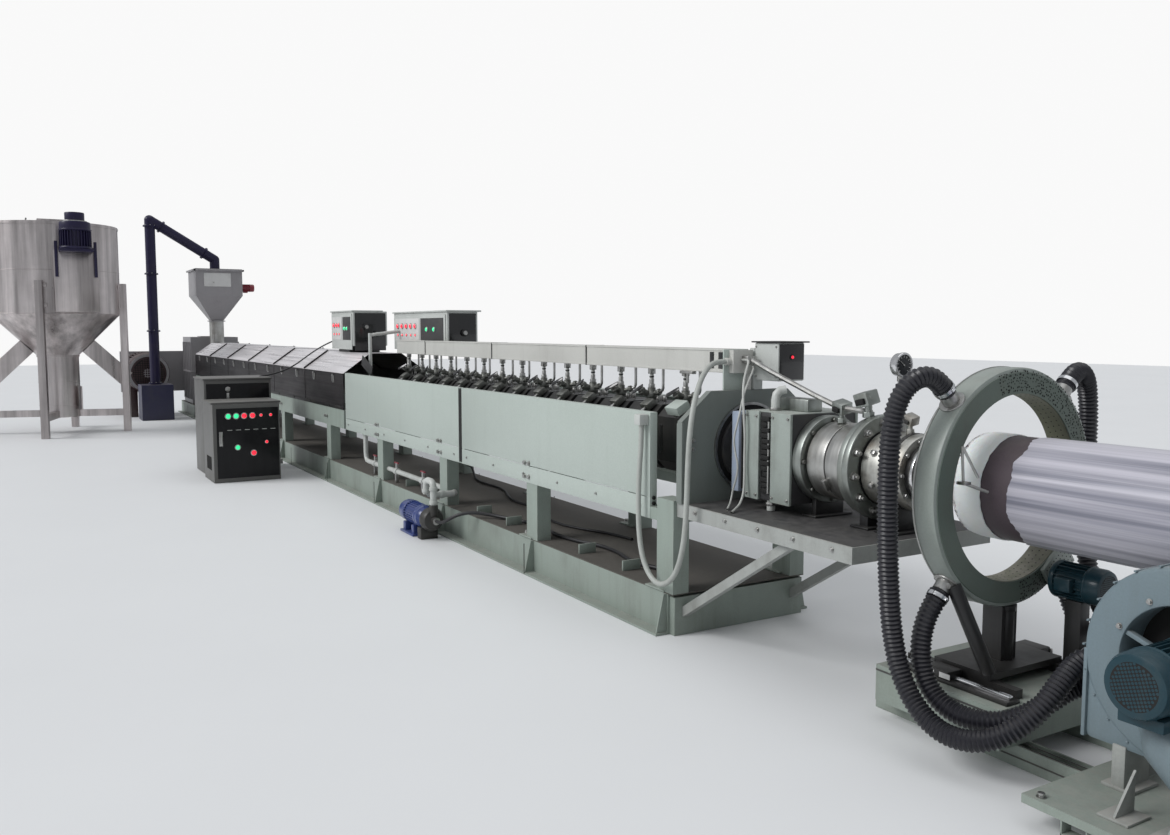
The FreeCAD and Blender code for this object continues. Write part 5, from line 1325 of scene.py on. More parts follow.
class LINE_OT_air_ring(bpy.types.Operator):
    """The cooling ring: rounded ring box, perforated faces, hose stubs, bracket and pointer rod"""

    bl_idname = "line.air_ring"
    bl_label = "Air Ring"

    def execute(self, context):
        coat("black_paint", "ring_stand")
        made = Shape()
        centre = (RING_X, 0, AXIS_UP)
        shell = [(RING_HOLE, 0), (RING_OUT - 0.014, 0), (RING_OUT - 0.004, 0.004), (RING_OUT, 0.014),
                 (RING_OUT, RING_DEEP - 0.014), (RING_OUT - 0.004, RING_DEEP - 0.004),
                 (RING_OUT - 0.014, RING_DEEP), (RING_HOLE, RING_DEEP)]
        made.turned(shell, centre, X_AXIS, 0, 120)
        plate = [(RING_HOLE - 0.002, 0), (RING_OUT - 0.016, 0), (RING_OUT - 0.018, 0.003), (RING_HOLE - 0.002, 0.003)]
        made.turned(plate, (RING_X + RING_DEEP, 0, AXIS_UP), X_AXIS, 4, 120)
        band = [(RING_HOLE - 0.003, 0.004), (RING_HOLE + 0.001, 0.004), (RING_HOLE + 0.001, RING_DEEP - 0.004),
                (RING_HOLE - 0.003, RING_DEEP - 0.004)]
        made.turned(band, centre, X_AXIS, 1, 120)
        seam = [(RING_OUT - 0.001, 0.0), (RING_OUT + 0.002, 0.0), (RING_OUT + 0.002, 0.006), (RING_OUT - 0.001, 0.006)]
        made.turned(seam, (RING_X + 0.012, 0, AXIS_UP), X_AXIS, 3, 120)
        face_x = RING_X + RING_DEEP + 0.0036
        pick = random.Random(11)
        radius = sizes().air_hole / 2
        # Black dots for the air holes (finish 2): painted shade inside each hole.
        dot = Shape().disc((0, 0, 0), Z_AXIS, radius, 0, 6)
        for row in range(7):
            for number in range(120):
                out = RING_HOLE + 0.010 + row * 0.0125 + pick.uniform(-0.004, 0.004)
                angle = math.radians(-84 + number * 1.6 + pick.uniform(-0.6, 0.6))
                grow = pick.uniform(0.45, 1.15)
                if grow > 0.62:
                    made.add(dot, aim(around(angle, out, face_x), X_AXIS) @ Matrix.Scale(grow, 4), 2)
        for row in range(3):
            for number in range(90):
                angle = math.radians(number * 4 + row * 1.3)
                spot = around(angle, RING_HOLE - 0.0034, RING_X + 0.028 + row * 0.027)
                inward = around(angle, 0, spot.x) - spot
                made.add(dot, aim(spot, inward) @ Matrix.Scale(0.8, 4), 2)
        block_angle = math.radians(-52)
        place = aim(around(block_angle, 0.425, RING_X + RING_DEEP), X_AXIS)
        turn = place @ Matrix.Rotation(math.radians(38), 4, "Z")
        made.block((-0.085, -0.055, 0), (0.085, 0.055, 0.02), 0, 0.003, turn)
        for across in range(9):
            for rise in range(5):
                spot = turn @ Matrix.Translation((-0.07 + across * 0.0175, -0.04 + rise * 0.02, 0.0206))
                made.add(dot, spot @ Matrix.Scale(pick.uniform(0.6, 1.0), 4), 2)
        for side in SIDES:
            for up in SIDES:
                out = Vector((0, side * math.cos(STUB_ANGLE), up * math.sin(STUB_ANGLE)))
                root = Vector((1.665, 0, AXIS_UP))
                made.rod(root + out * 0.462, root + out * 0.517, 0.034, 3, 28)
                made.rod(root + out * 0.468, root + out * 0.478, 0.05, 3, 28, 0.002)
        top = Vector((RING_X + RING_DEEP + 0.004, -0.33, AXIS_UP + 0.185))
        foot = Vector((RING_X + RING_DEEP + 0.004, -0.318, AXIS_UP + 0.045))
        made.rod(top, foot, 0.0055, 3, 10)
        made.rod(top, foot + Vector((0.03, 0.045, 0.02)), 0.0055, 3, 10)
        made.block((-0.02, -0.015, -0.006), (0.02, 0.02, 0.006), 3, 0.002, Matrix.Translation(foot))
        made.rod(foot + Vector((0, 0.0, 0.0)), foot + Vector((0.045, 0.085, -0.035)), 0.006, 3, 10)
        made.piece("air_ring_body", ["ring_green", "flange_olive", "hole_black", "bolt_steel", "ring_dark"],
                   replaces=["air_ring"], slot="machine_green", smooth=35)

        stand = Shape()
        for side in SIDES:
            for start in (1.42, 1.885):
                stand.add(bolt(0.02), aim((start, side * 0.2, 0.2505), Z_AXIS), 1)
            guide = sorted((side * 0.235, side * 0.31))
            stand.block((1.37, guide[0], 0.2305), (1.94, guide[1], 0.246), 0, 0.002)
            strip = sorted((side * 0.262, side * 0.283))
            stand.block((1.38, strip[0], 0.246), (1.93, strip[1], 0.262), 2, 0.003)
            stand.block((1.56, guide[0] - 0.004, 0.248), (1.68, guide[1] + 0.004, 0.281), 0, 0.004)
            label = sorted((side * 0.3102, side * 0.312))
            for start in (1.565, 1.64):
                stand.block((start, label[0] + side * 0.004, 0.254), (start + 0.05, label[1] + side * 0.004, 0.274), 3)
        clevis = around(math.radians(227), RING_OUT + 0.004, 1.70)
        stand.rod(clevis, Vector((1.80, -0.23, 0.30)), 0.028, 0, 16, 0.003)
        stand.rod(clevis + Vector((0, 0.02, 0)), clevis - Vector((0, 0.03, 0)), 0.012, 1, 10)
        stand.rod((1.70, 0.0, AXIS_UP - RING_OUT - 0.004), (1.70, 0.0, 0.27), 0.026, 0, 16, 0.003)
        stand.rod((1.70, 0.0, AXIS_UP - RING_OUT - 0.02), (1.70, 0.0, AXIS_UP - RING_OUT + 0.002), 0.034, 0, 8, 0.002)
        stand.piece("ring_stand_fittings", ["black_paint", "bolt_steel", "bright_strip", "strip_white"],
                    slot="black_paint")
        return {"FINISHED"}


def sleeve(name, start, end, outer, thick, steps, finish_name, shape_vert):
    """A tube of film round the mandrel, its vertices then moved into folds and a torn edge."""
    count = max(2, round((end - start) / steps))
    line = [start + (end - start) * number / count for number in range(count + 1)]
    profile = [(outer, x) for x in line] + [(outer - thick, x) for x in reversed(line)]
    made = Shape().turned(profile, (0, 0, AXIS_UP), X_AXIS, 0, 128)
    for vert in made.bm.verts:
        across = Vector((0, vert.co.y, vert.co.z - AXIS_UP))
        radius = across.length
        angle = math.atan2(across.z, across.y)
        skin = (radius - (outer - thick)) / thick
        x, radius = shape_vert(vert.co.x, angle, radius, skin)
        vert.co = around(angle, radius, x)
    bmesh.ops.recalc_face_normals(made.bm, faces=made.bm.faces)
    return made.piece(name, [finish_name], replaces=["film_sleeves"], slot="film_lilac", smooth=60)


def wave(angle, x, often, along):
    """A smooth random value over the tube that closes on itself."""
    from mathutils import noise
    return noise.noise(Vector((math.cos(angle) * often, math.sin(angle) * often, x * along)))


class LINE_OT_film(bpy.types.Operator):
    """The mandrel, the white foam edge and the lilac film drawn over it"""

    bl_idname = "line.film"
    bl_label = "Mandrel and Film"

    def execute(self, context):
        coat("mandrel_mauve", "mandrel")

        def foam(x, angle, radius, skin):
            share = max(0.0, 1 - (x - 1.568) / 0.05)
            lumps = wave(angle, 0.0, 5.5, 1.0)
            x = x + share * share * (0.040 * lumps + 0.026 * wave(angle, 4.0, 15.0, 1.0))
            radius = radius - share ** 2.4 * 0.024 + share * 0.006 * lumps + skin * 0.0008 * wave(angle, x, 20, 30)
            keep = 0.2062 if x > 1.579 else 0.17
            tail = max(0.0, 1 - (1.712 - x) / 0.012)
            return x + 0.004 * tail * wave(angle, 9.0, 7.0, 1.0), max(radius - tail * 0.001, keep)

        def film(x, angle, radius, skin):
            share = max(0.0, 1 - (x - 1.835) / 0.03)
            tear = 0.030 * wave(angle, 2.0, 2.2, 1.0) + 0.007 * wave(angle, 5.0, 14.0, 1.0)
            folds = wave(angle, x, 9.0, 0.35) * 0.0010 + wave(angle, x, 30.0, 0.6) * 0.0004
            return x + share * tear, min(max(radius + skin * folds, 0.2058), 0.2112)

        edge = sleeve("foam_sleeve", 1.568, 1.712, 0.2105, 0.004, 0.006, "foam_white", foam)
        skin = sleeve("film_sleeve", 1.835, 3.78, 0.2092, 0.0026, 0.03, "film_lilac", film)

        end = Shape()
        bolt_circle(end, bolt(0.02), (3.9, 0, AXIS_UP), X_AXIS, 0.15, 8, 0)
        end.turned(soft_profile(0.012, 0.09, 0.003), (3.9, 0, AXIS_UP), X_AXIS, 0, 40)
        end.piece("mandrel_end_bolts", ["bolt_steel"], slot="mandrel_mauve")
        return {"FINISHED"}


class LINE_OT_blower(bpy.types.Operator):
    """The blower: volute with painted shade deep in its inlet, both motors, the manifold and their foot plates"""

    bl_idname = "line.blower"
    bl_label = "Blower"

    def execute(self, context):
        coat("black_paint", "air_manifold")
        centre = Vector((2.57, -0.35, 0.56))
        fan = Shape()
        face = [(0.205, 0.0), (0.212, 0.0), (0.306, 0.0), (0.314, 0.004), (0.319, 0.012), (0.320, 0.022),
                (0.320, 0.142), (0.316, 0.149), (0.10, 0.149), (0.10, 0.125), (0.198, 0.125), (0.198, 0.006),
                (0.201, 0.001)]
        fan.turned(face, centre, Y_AXIS, 0, 96)
        # A near-black disc deep in the inlet: painted shade where the fan's interior lies.
        fan.turned([(0, 0.118), (0.198, 0.118), (0.198, 0.124), (0, 0.124)], centre, Y_AXIS, 1, 64)
        fan.turned([(0.0, 0.04), (0.05, 0.04), (0.062, 0.06), (0.066, 0.118), (0, 0.118)], centre, Y_AXIS, 2, 40)
        for number in range(3):
            angle = math.radians(40 + 120 * number)
            out = Vector((math.cos(angle), 0, math.sin(angle)))
            fan.block((-0.012, 0.0, 0.10), (0.012, 0.016, 0.206), 0, 0.003,
                      Matrix.Translation(centre + Y_AXIS * 0.02) @ out.to_track_quat("Z", "Y").to_matrix().to_4x4())
        bolt_circle(fan, bolt(0.014), centre, -Y_AXIS, 0.222, 10, 3, 0.2)
        for step in range(24):
            angle = math.radians(90 + 15 * step)
            out = centre + Vector((math.cos(angle), 0, math.sin(angle))) * 0.3215
            fan.block((-0.004, 0.0, -0.003), (0.004, 0.15, 0.003), 0, 0.001, Matrix.Translation(out))
        fan.block((2.252, -0.345, 0.242), (2.565, -0.205, 0.56), 0, 0.03)
        fan.block((2.251, -0.35, 0.25), (2.265, -0.20, 0.55), 0, 0.003)
        outlet = [(2.56, -0.36, 0.40), (2.60, -0.40, 0.345), (2.67, -0.425, 0.305), (2.78, -0.43, 0.285),
                  (2.98, -0.43, 0.28), (3.10, -0.43, 0.28)]
        fan.sweep(outlet, [0.10, 0.10, 0.098, 0.095, 0.095, 0.095], 0, 32)
        for start in (2.80, 3.085):
            fan.rod((start, -0.43, 0.28), (start + 0.018, -0.43, 0.28), 0.118, 0, 40, 0.003)
            bolt_circle(fan, bolt(0.014), (start + 0.018, -0.43, 0.28), X_AXIS, 0.107, 10, 3)
        for start, out in ((2.50, -0.50), (2.66, -0.50), (2.95, -0.36)):
            wedge = Shape().block((-0.004, -0.05, 0), (0.004, 0.05, 0.15), 4, 0.002)
            cut = bmesh.ops.bisect_plane(wedge.bm, geom=wedge.bm.verts[:] + wedge.bm.edges[:] + wedge.bm.faces[:],
                                         plane_co=(0, -0.05, 0.012), plane_no=(0, -0.78, 0.62), clear_outer=True)
            rim = [item for item in cut["geom_cut"] if isinstance(item, bmesh.types.BMEdge)]
            bmesh.ops.edgeloop_fill(wedge.bm, edges=rim, mat_nr=4)
            fan.add(wedge, Matrix.Translation((start, out, 0.1105)))
            fan.block((start - 0.05, out - 0.06, 0.1105), (start + 0.05, out + 0.06, 0.119), 4, 0.002)
        for start in (2.36, 2.74):
            fan.block((start, -0.345, 0.1105), (start + 0.045, -0.205, 0.26), 4, 0.003)
            fan.block((start - 0.03, -0.349, 0.1105), (start + 0.075, -0.201, 0.122), 4, 0.002)
            gusset = Matrix.Translation((start + 0.022, -0.20, 0.115))
            fan.block((-0.004, 0, 0), (0.004, 0.10, 0.10), 4, 0.002, gusset @ Matrix.Rotation(0.0, 4, "X"))
        fan.piece("blower_volute_body", ["fan_blue", "hole_black", "table_dark", "bolt_steel", "table_edge"],
                  replaces=["blower_volute"], slot="volute_blue")

        motors = Shape()
        drive = machine(0.292, 0.105, 30, box_side=1)
        lift = machine(0.208, 0.075, 22)
        motors.add(drive, aim((2.57, -0.308, 0.56), (0, -1, 0), math.radians(200)))
        motors.rod((2.57, -0.36, 0.56), (2.57, -0.25, 0.56), 0.05, 0, 28, 0.006)
        motors.block((2.50, -0.56, 0.43), (2.64, -0.34, 0.468), 0, 0.004)
        motors.add(lift, aim((1.781, 0.2, 0.61), X_AXIS, math.radians(90)))
        low, high = Vector((1.83, 0.17, 0.23)), Vector((1.90, 0.23, 0.54))
        motors.block(low, high, 3, 0.005)
        motors.piece("blower_motors", ["motor_teal", "hole_black", "bolt_steel", "black_paint"], replaces=["blower_motor"],
                     slot="motor_teal", smooth=35)

        rails = Shape()
        for side in SIDES:
            for out in (0.215, 0.245):
                groove = sorted((side * out, side * (out + 0.006)))
                rails.block((1.275, groove[0], 0.0795), (4.115, groove[1], 0.0806), 0)
            face = sorted((side * 0.2602, side * 0.2615))
            rails.block((1.275, face[0], 0.034), (4.115, face[1], 0.040), 0)
        channel = Shape().block((-0.045, 0, -0.05), (0.045, 0.05, -0.044), 0, 0.001)
        channel.block((-0.045, 0, -0.05), (-0.039, 0.05, 0), 0, 0.001).block((0.039, 0, -0.05), (0.045, 0.05, 0), 0, 0.001)
        for start in (2.42, 2.95):
            for out in (-0.625, 0.15):
                rails.add(channel, Matrix.Translation((start, out, 0.0798)), 1)
        for start in (2.29, 2.69, 3.09):
            for out in (-0.60, 0.18):
                rails.add(bolt(0.022), Matrix.Translation((start, out, 0.1102)), 2)
        low, high = Vector((1.36, -0.362, 0.082)), Vector((1.95, -0.359, 0.228))
        rails.block((low.x, low.y, 0.205), (high.x, high.y, 0.212), 0)
        rails.piece("rail_trim", ["table_dark", "skid_green", "bolt_steel"], slot="frame_green")

        rings = Shape()
        for out in (-0.151, -0.051):
            for rise in (0.355, 0.455):
                rings.turned([(0.040, 0), (0.046, 0), (0.046, 0.022), (0.040, 0.022)], (2.206, out, rise),
                             (-1, 0, 0), 0, 32)
        rings.piece("manifold_collars", ["black_gloss"], slot="black_paint")
        return {"FINISHED"}


# ---- silo, feeder and drive ----


class LINE_OT_silo(bpy.types.Operator):
    """The mixing silo: stainless shell with rims and seams, legs, chutes, hatch and mixer motor"""

    bl_idname = "line.silo"
    bl_label = "Silo"

    def execute(self, context):
        coat("stainless", "silo_shell", "silo_roof", "silo_tube", "silo_frame", "silo_chutes")
        centre = Vector((-13.2, -2.68, 0))
        made = Shape()
        for rise, radius, tall in ((3.118, 0.9, 0.034), (1.822, 0.9, 0.014), (2.46, 0.9, 0.006)):
            band = [(radius - 0.002, 0), (radius + 0.008, 0.003), (radius + 0.008, tall - 0.003), (radius - 0.002, tall)]
            made.turned(band, centre + Z_AXIS * rise, Z_AXIS, 0, 96)
        made.turned([(0.283, 0), (0.296, 0.003), (0.296, 0.03), (0.283, 0.033)], centre + Z_AXIS * 1.17, Z_AXIS, 0, 64)
        for angle in (25, 150, 265):
            out = Vector((math.cos(math.radians(angle)), math.sin(math.radians(angle)), 0))
            made.block((-0.006, -0.003, 1.85), (0.006, 0.003, 3.11), 0, 0.001,
                       Matrix.Translation(centre + out * 0.9) @ Matrix.Rotation(math.radians(angle + 90), 4, "Z"))
        for angle in (75, 165, 255, 345):
            out = Vector((math.cos(math.radians(angle)), math.sin(math.radians(angle)), 0))
            spin = Matrix.Rotation(math.radians(angle), 4, "Z")
            low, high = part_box("silo_frame")
            for rise in (1.95, 2.24):
                spot = Matrix.Translation(centre + out * 0.905 + Z_AXIS * rise) @ spin
                made.block((-0.004, -0.09, -0.03), (0.014, 0.09, 0.03), 0, 0.002, spot)
        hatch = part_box("silo_roof")[1]
        made.rod((centre.x - 0.1, centre.y - 0.35, hatch.z + 0.002), (centre.x + 0.1, centre.y - 0.35, hatch.z + 0.002),
                 0.012, 1, 10)
        for level in (0.42, 0.78):
            made.turned([(0.283, 0), (0.289, 0.002), (0.289, 0.014), (0.283, 0.016)], centre + Z_AXIS * level,
                        Z_AXIS, 0, 64)
        made.block((-13.08, -2.405, 0.36), (-12.90, -2.385, 0.72), 0, 0.004)
        made.piece("silo_trim", ["stainless", "bolt_steel"], slot="stainless")

        drive = Shape()
        drive.block((-12.48, -2.735, 1.845), (-12.10, -2.145, 2.735), 3, 0.012)
        drive.block((-12.10, -2.70, 1.87), (-12.094, -2.18, 2.70), 3, 0.002)
        for out in (-2.715, -2.205):
            drive.block((-12.105, out, 2.35), (-12.06, out + 0.04, 2.86), 0, 0.004)
            drive.block((-12.49, out + 0.01, 2.735), (-12.08, out + 0.03, 2.80), 0, 0.004)
        motor = machine(0.40, 0.218, 30, cover=False)
        drive.add(motor, aim((-12.05, -2.44, 2.742), Z_AXIS, math.radians(-90)), None)
        drive.rod((-12.05, -2.44, 3.00), (-12.05, -2.44, 3.135), 0.205, 0, 40, 0.02)
        drive.rod((-12.05, -2.44, 3.13), (-12.05, -2.44, 3.268), 0.13, 0, 32, 0.012)
        drive.rod((-12.05, -2.44, 3.13), (-12.05, -2.44, 3.15), 0.16, 2, 32, 0.003)
        drive.block((-12.25, -2.66, 2.705), (-11.85, -2.22, 2.742), 0, 0.006)
        drive.piece("silo_drive", ["duct_violet", "hole_black", "bolt_steel", "stainless"],
                    replaces=["silo_motor"], slot="duct_violet", smooth=35)
        return {"FINISHED"}


class LINE_OT_feeder(bpy.types.Operator):
    """The feed screw's duct, the hopper with its rim and the hopper's motor"""

    bl_idname = "line.feeder"
    bl_label = "Feeder and Hopper"

    def execute(self, context):
        coat("duct_violet", "feeder_duct")
        coat("hopper_grey", "hopper", "hopper_lid")
        coat("bin_blue", "feeder_bin")
        duct = Shape()
        for rise in (0.63, 1.55, 2.55, 3.38):
            duct.turned([(0.083, 0), (0.112, 0.002), (0.112, 0.022), (0.083, 0.024)], (-14.9, -1.1, rise), Z_AXIS, 0, 40)
            bolt_circle(duct, bolt(0.014), (-14.9, -1.1, rise + 0.024), Z_AXIS, 0.099, 8, 1)
        start = Vector((-14.9, -1.1, 3.5))
        end = Vector((-15.1, 0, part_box("hopper_lid")[1].z + 0.182))
        along = (end - start).normalized()
        for share in (0.16, 0.82):
            duct.turned([(0.083, 0), (0.110, 0.002), (0.110, 0.022), (0.083, 0.024)], start.lerp(end, share), along, 0, 40)
        duct.turned([(0.083, 0), (0.118, 0.002), (0.118, 0.018), (0.083, 0.02)],
                    (-15.1, 0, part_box("hopper_lid")[1].z + 0.002), Z_AXIS, 0, 40)
        duct.piece("duct_collars", ["duct_violet", "bolt_steel"], slot="duct_violet")

        rim = Shape()
        low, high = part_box("hopper")
        for side in SIDES:
            face = sorted((side * 0.398, side * 0.43))
            rim.block((low.x - 0.03, face[0], 2.636), (high.x + 0.03, face[1], 2.668), 0, 0.003)
            ends = sorted((-15.1 + side * 0.398, -15.1 + side * 0.43))
            rim.block((ends[0], -0.43, 2.636), (ends[1], 0.43, 2.668), 0, 0.003)
            for number in range(5):
                rim.add(bolt(0.014), aim((-15.1 + side * 0.43, -0.34 + 0.17 * number, 2.652), (side, 0, 0)), 1)
        rim.block((high.x + 0.0005, -0.26, 2.36), (high.x + 0.006, 0.20, 2.60), 2, 0.002)
        rim.rod((high.x + 0.006, -0.1, 2.43), (high.x + 0.03, -0.1, 2.43), 0.01, 1, 10)
        rim.turned([(0.123, 0), (0.155, 0.002), (0.155, 0.018), (0.123, 0.02)], (-15.1, 0, 1.735), Z_AXIS, 0, 40)
        rim.turned([(0.123, 0), (0.155, 0.002), (0.155, 0.018), (0.123, 0.02)], (-15.1, 0, 1.30), Z_AXIS, 3, 40)
        rim.piece("hopper_trim", ["hopper_grey", "bolt_steel", "strip_white", "black_paint"], slot="hopper_grey")

        motor = Shape()
        motor.add(machine(0.24, 0.07, 22), aim((-14.9, 0.4005, 2.35), Y_AXIS, math.radians(180)))
        motor.piece("hopper_vibrator", ["motor_red", "hole_black", "bolt_steel"], replaces=["hopper_motor"],
                    slot="motor_red", smooth=35)
        return {"FINISHED"}


class LINE_OT_drive(bpy.types.Operator):
    """The gearbox with its ribs and belt guard, and the main motor"""

    bl_idname = "line.drive"
    bl_label = "Gearbox and Drive"

    def execute(self, context):
        coat("hopper_grey", "gearbox")
        case = Shape()
        low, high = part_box("gearbox")
        for number in range(5):
            along = -16.15 + number * 0.185
            for side in SIDES:
                rib = sorted((side * 0.4195, side * 0.446))
                case.block((along, rib[0], 0.30), (along + 0.018, rib[1], 1.36), 0, 0.003)
        case.block((-16.27, -0.44, 0.8), (-15.35, 0.44, 0.83), 0, 0.004)
        case.block((-16.0, -0.2, high.z - 0.002), (-15.6, 0.2, high.z + 0.016), 0, 0.004)
        case.turned(soft_profile(0.03, 0.30, 0.006), (-15.362, 0, AXIS_UP), X_AXIS, 0, 64)
        bolt_circle(case, bolt(0.03), (-15.332, 0, AXIS_UP), X_AXIS, 0.27, 12, 1)
        case.turned(soft_profile(0.02, 0.34, 0.005), (-14.965, 0, AXIS_UP), X_AXIS, 0, 64)
        bolt_circle(case, bolt(0.03), (-14.945, 0, AXIS_UP), X_AXIS, 0.31, 14, 1)
        case.block((-16.3835, -1.51, 0.46), (-16.3785, 0.40, 1.14), 0, 0.002)
        case.piece("gearbox_trim", ["hopper_grey", "bolt_steel"], slot="hopper_grey")

        motor = Shape()
        motor.add(machine(0.895, 0.378, 40), aim((-16.258, -1.15, 0.8), X_AXIS, math.radians(90)))
        motor.turned([(0.30, 0), (0.345, 0), (0.345, 0.004), (0.30, 0.004)], (-15.3635, -1.15, 0.8), X_AXIS, 2, 64)
        motor.rod((-15.366, -1.15, 0.8), (-15.361, -1.15, 0.8), 0.09, 2, 32)
        for start in (-16.10, -15.66):
            for out in (-0.30, 0.18):
                motor.block((start, -1.15 + out, 0.0), (start + 0.14, -1.15 + out + 0.12, 0.56), 0, 0.008)
        motor.piece("main_motor", ["disc_maroon", "hole_black", "hopper_grey"], replaces=["drive_motor"],
                    slot="motor_red", smooth=35)
        return {"FINISHED"}


# ---- controls and pump ----


def lamp(face, glow, spot, direction, radius, lit):
    """A pilot lamp: its bezel in one shape and its lit lens in another."""
    bezel = [(radius * 0.7, 0), (radius * 1.3, 0), (radius * 1.3, radius * 0.25), (radius, radius * 0.4),
             (radius * 0.7, radius * 0.4)]
    face.turned(bezel, spot, direction, 1, 24)
    lens = [(0, 0), (radius * 0.95, 0), (radius * 0.95, radius * 0.35), (radius * 0.6, radius * 0.7),
            (0, radius * 0.8)]
    glow.turned(lens, Vector(spot) + Vector(direction) * radius * 0.1, direction, lit, 20)


class LINE_OT_cabinets(bpy.types.Operator):
    """The control cabinet with its glossy door and pilot lamps, and the cabinet behind it"""

    bl_idname = "line.cabinets"
    bl_label = "Control Cabinets"

    def execute(self, context):
        coat("cabinet_grey", "cabinet_body")
        coat("cabinet_grey", "cabinet_door")
        face = Shape()
        glow = Shape()
        front = -6.5798
        face.block((front, -1.535, 0.045), (front + 0.0045, -0.905, 0.775), 0, 0.0015)
        top_row = ((-1.418, 0.026, 0), (-1.338, 0.026, 0), (-1.258, 0.026, 1), (-1.173, 0.026, 1),
                   (-1.085, 0.014, 1), (-0.985, 0.014, 1))
        for out, radius, lit in top_row:
            lamp(face, glow, (front + 0.0045, out, 0.695), X_AXIS, radius, lit)
        for out, rise, radius, lit in ((-1.33, 0.365, 0.024, 0), (-1.033, 0.41, 0.015, 1), (-1.169, 0.30, 0.026, 1)):
            lamp(face, glow, (front + 0.0045, out, rise), X_AXIS, radius, lit)
        for number in range(6):
            face.block((front + 0.0045, -1.43 + number * 0.088, 0.545), (front + 0.0052, -1.38 + number * 0.088, 0.551), 2)
        face.block((front + 0.0045, -1.502, 0.40), (front + 0.03, -1.487, 0.52), 1, 0.004)
        face.block((front, -1.512, 0.385), (front + 0.008, -1.477, 0.535), 1, 0.003)
        face.piece("cabinet_panel", ["door_black", "bolt_steel", "conduit_grey"], DOOR, slot="door_black")
        glow.piece("cabinet_lamps", ["lamp_green", "lamp_red"], DOOR, slot="door_black")

        body = Shape()
        low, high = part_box("cabinet_body")
        body.block((low.x - 0.012, low.y - 0.012, high.z - 0.002), (-6.606, -0.87, high.z + 0.02), 0, 0.004)
        # Dark vent slots (finish 1): painted shade inside the louvres.
        for number in range(9):
            body.block((-6.98 + 0.03 * number, low.y - 0.003, 0.12), (-6.965 + 0.03 * number, low.y + 0.001, 0.26), 1)
        low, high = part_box("control_boxes")
        body.block((-7.2505, -1.515, 0.05), (-7.244, -0.845, 1.0), 2, 0.002)
        body.block((-7.872, -1.55, 1.042), (-7.238, -0.81, 1.06), 0, 0.004)
        body.rod((-7.244, -1.29, 0.94), (-7.228, -1.29, 0.94), 0.028, 3, 20, 0.003)
        body.block((-7.244, -1.305, 0.80), (-7.230, -1.275, 0.90), 3, 0.004)
        body.piece("cabinet_trim", ["cabinet_grey", "hole_black", "door_black", "bolt_steel"], slot="cabinet_grey")
        return {"FINISHED"}


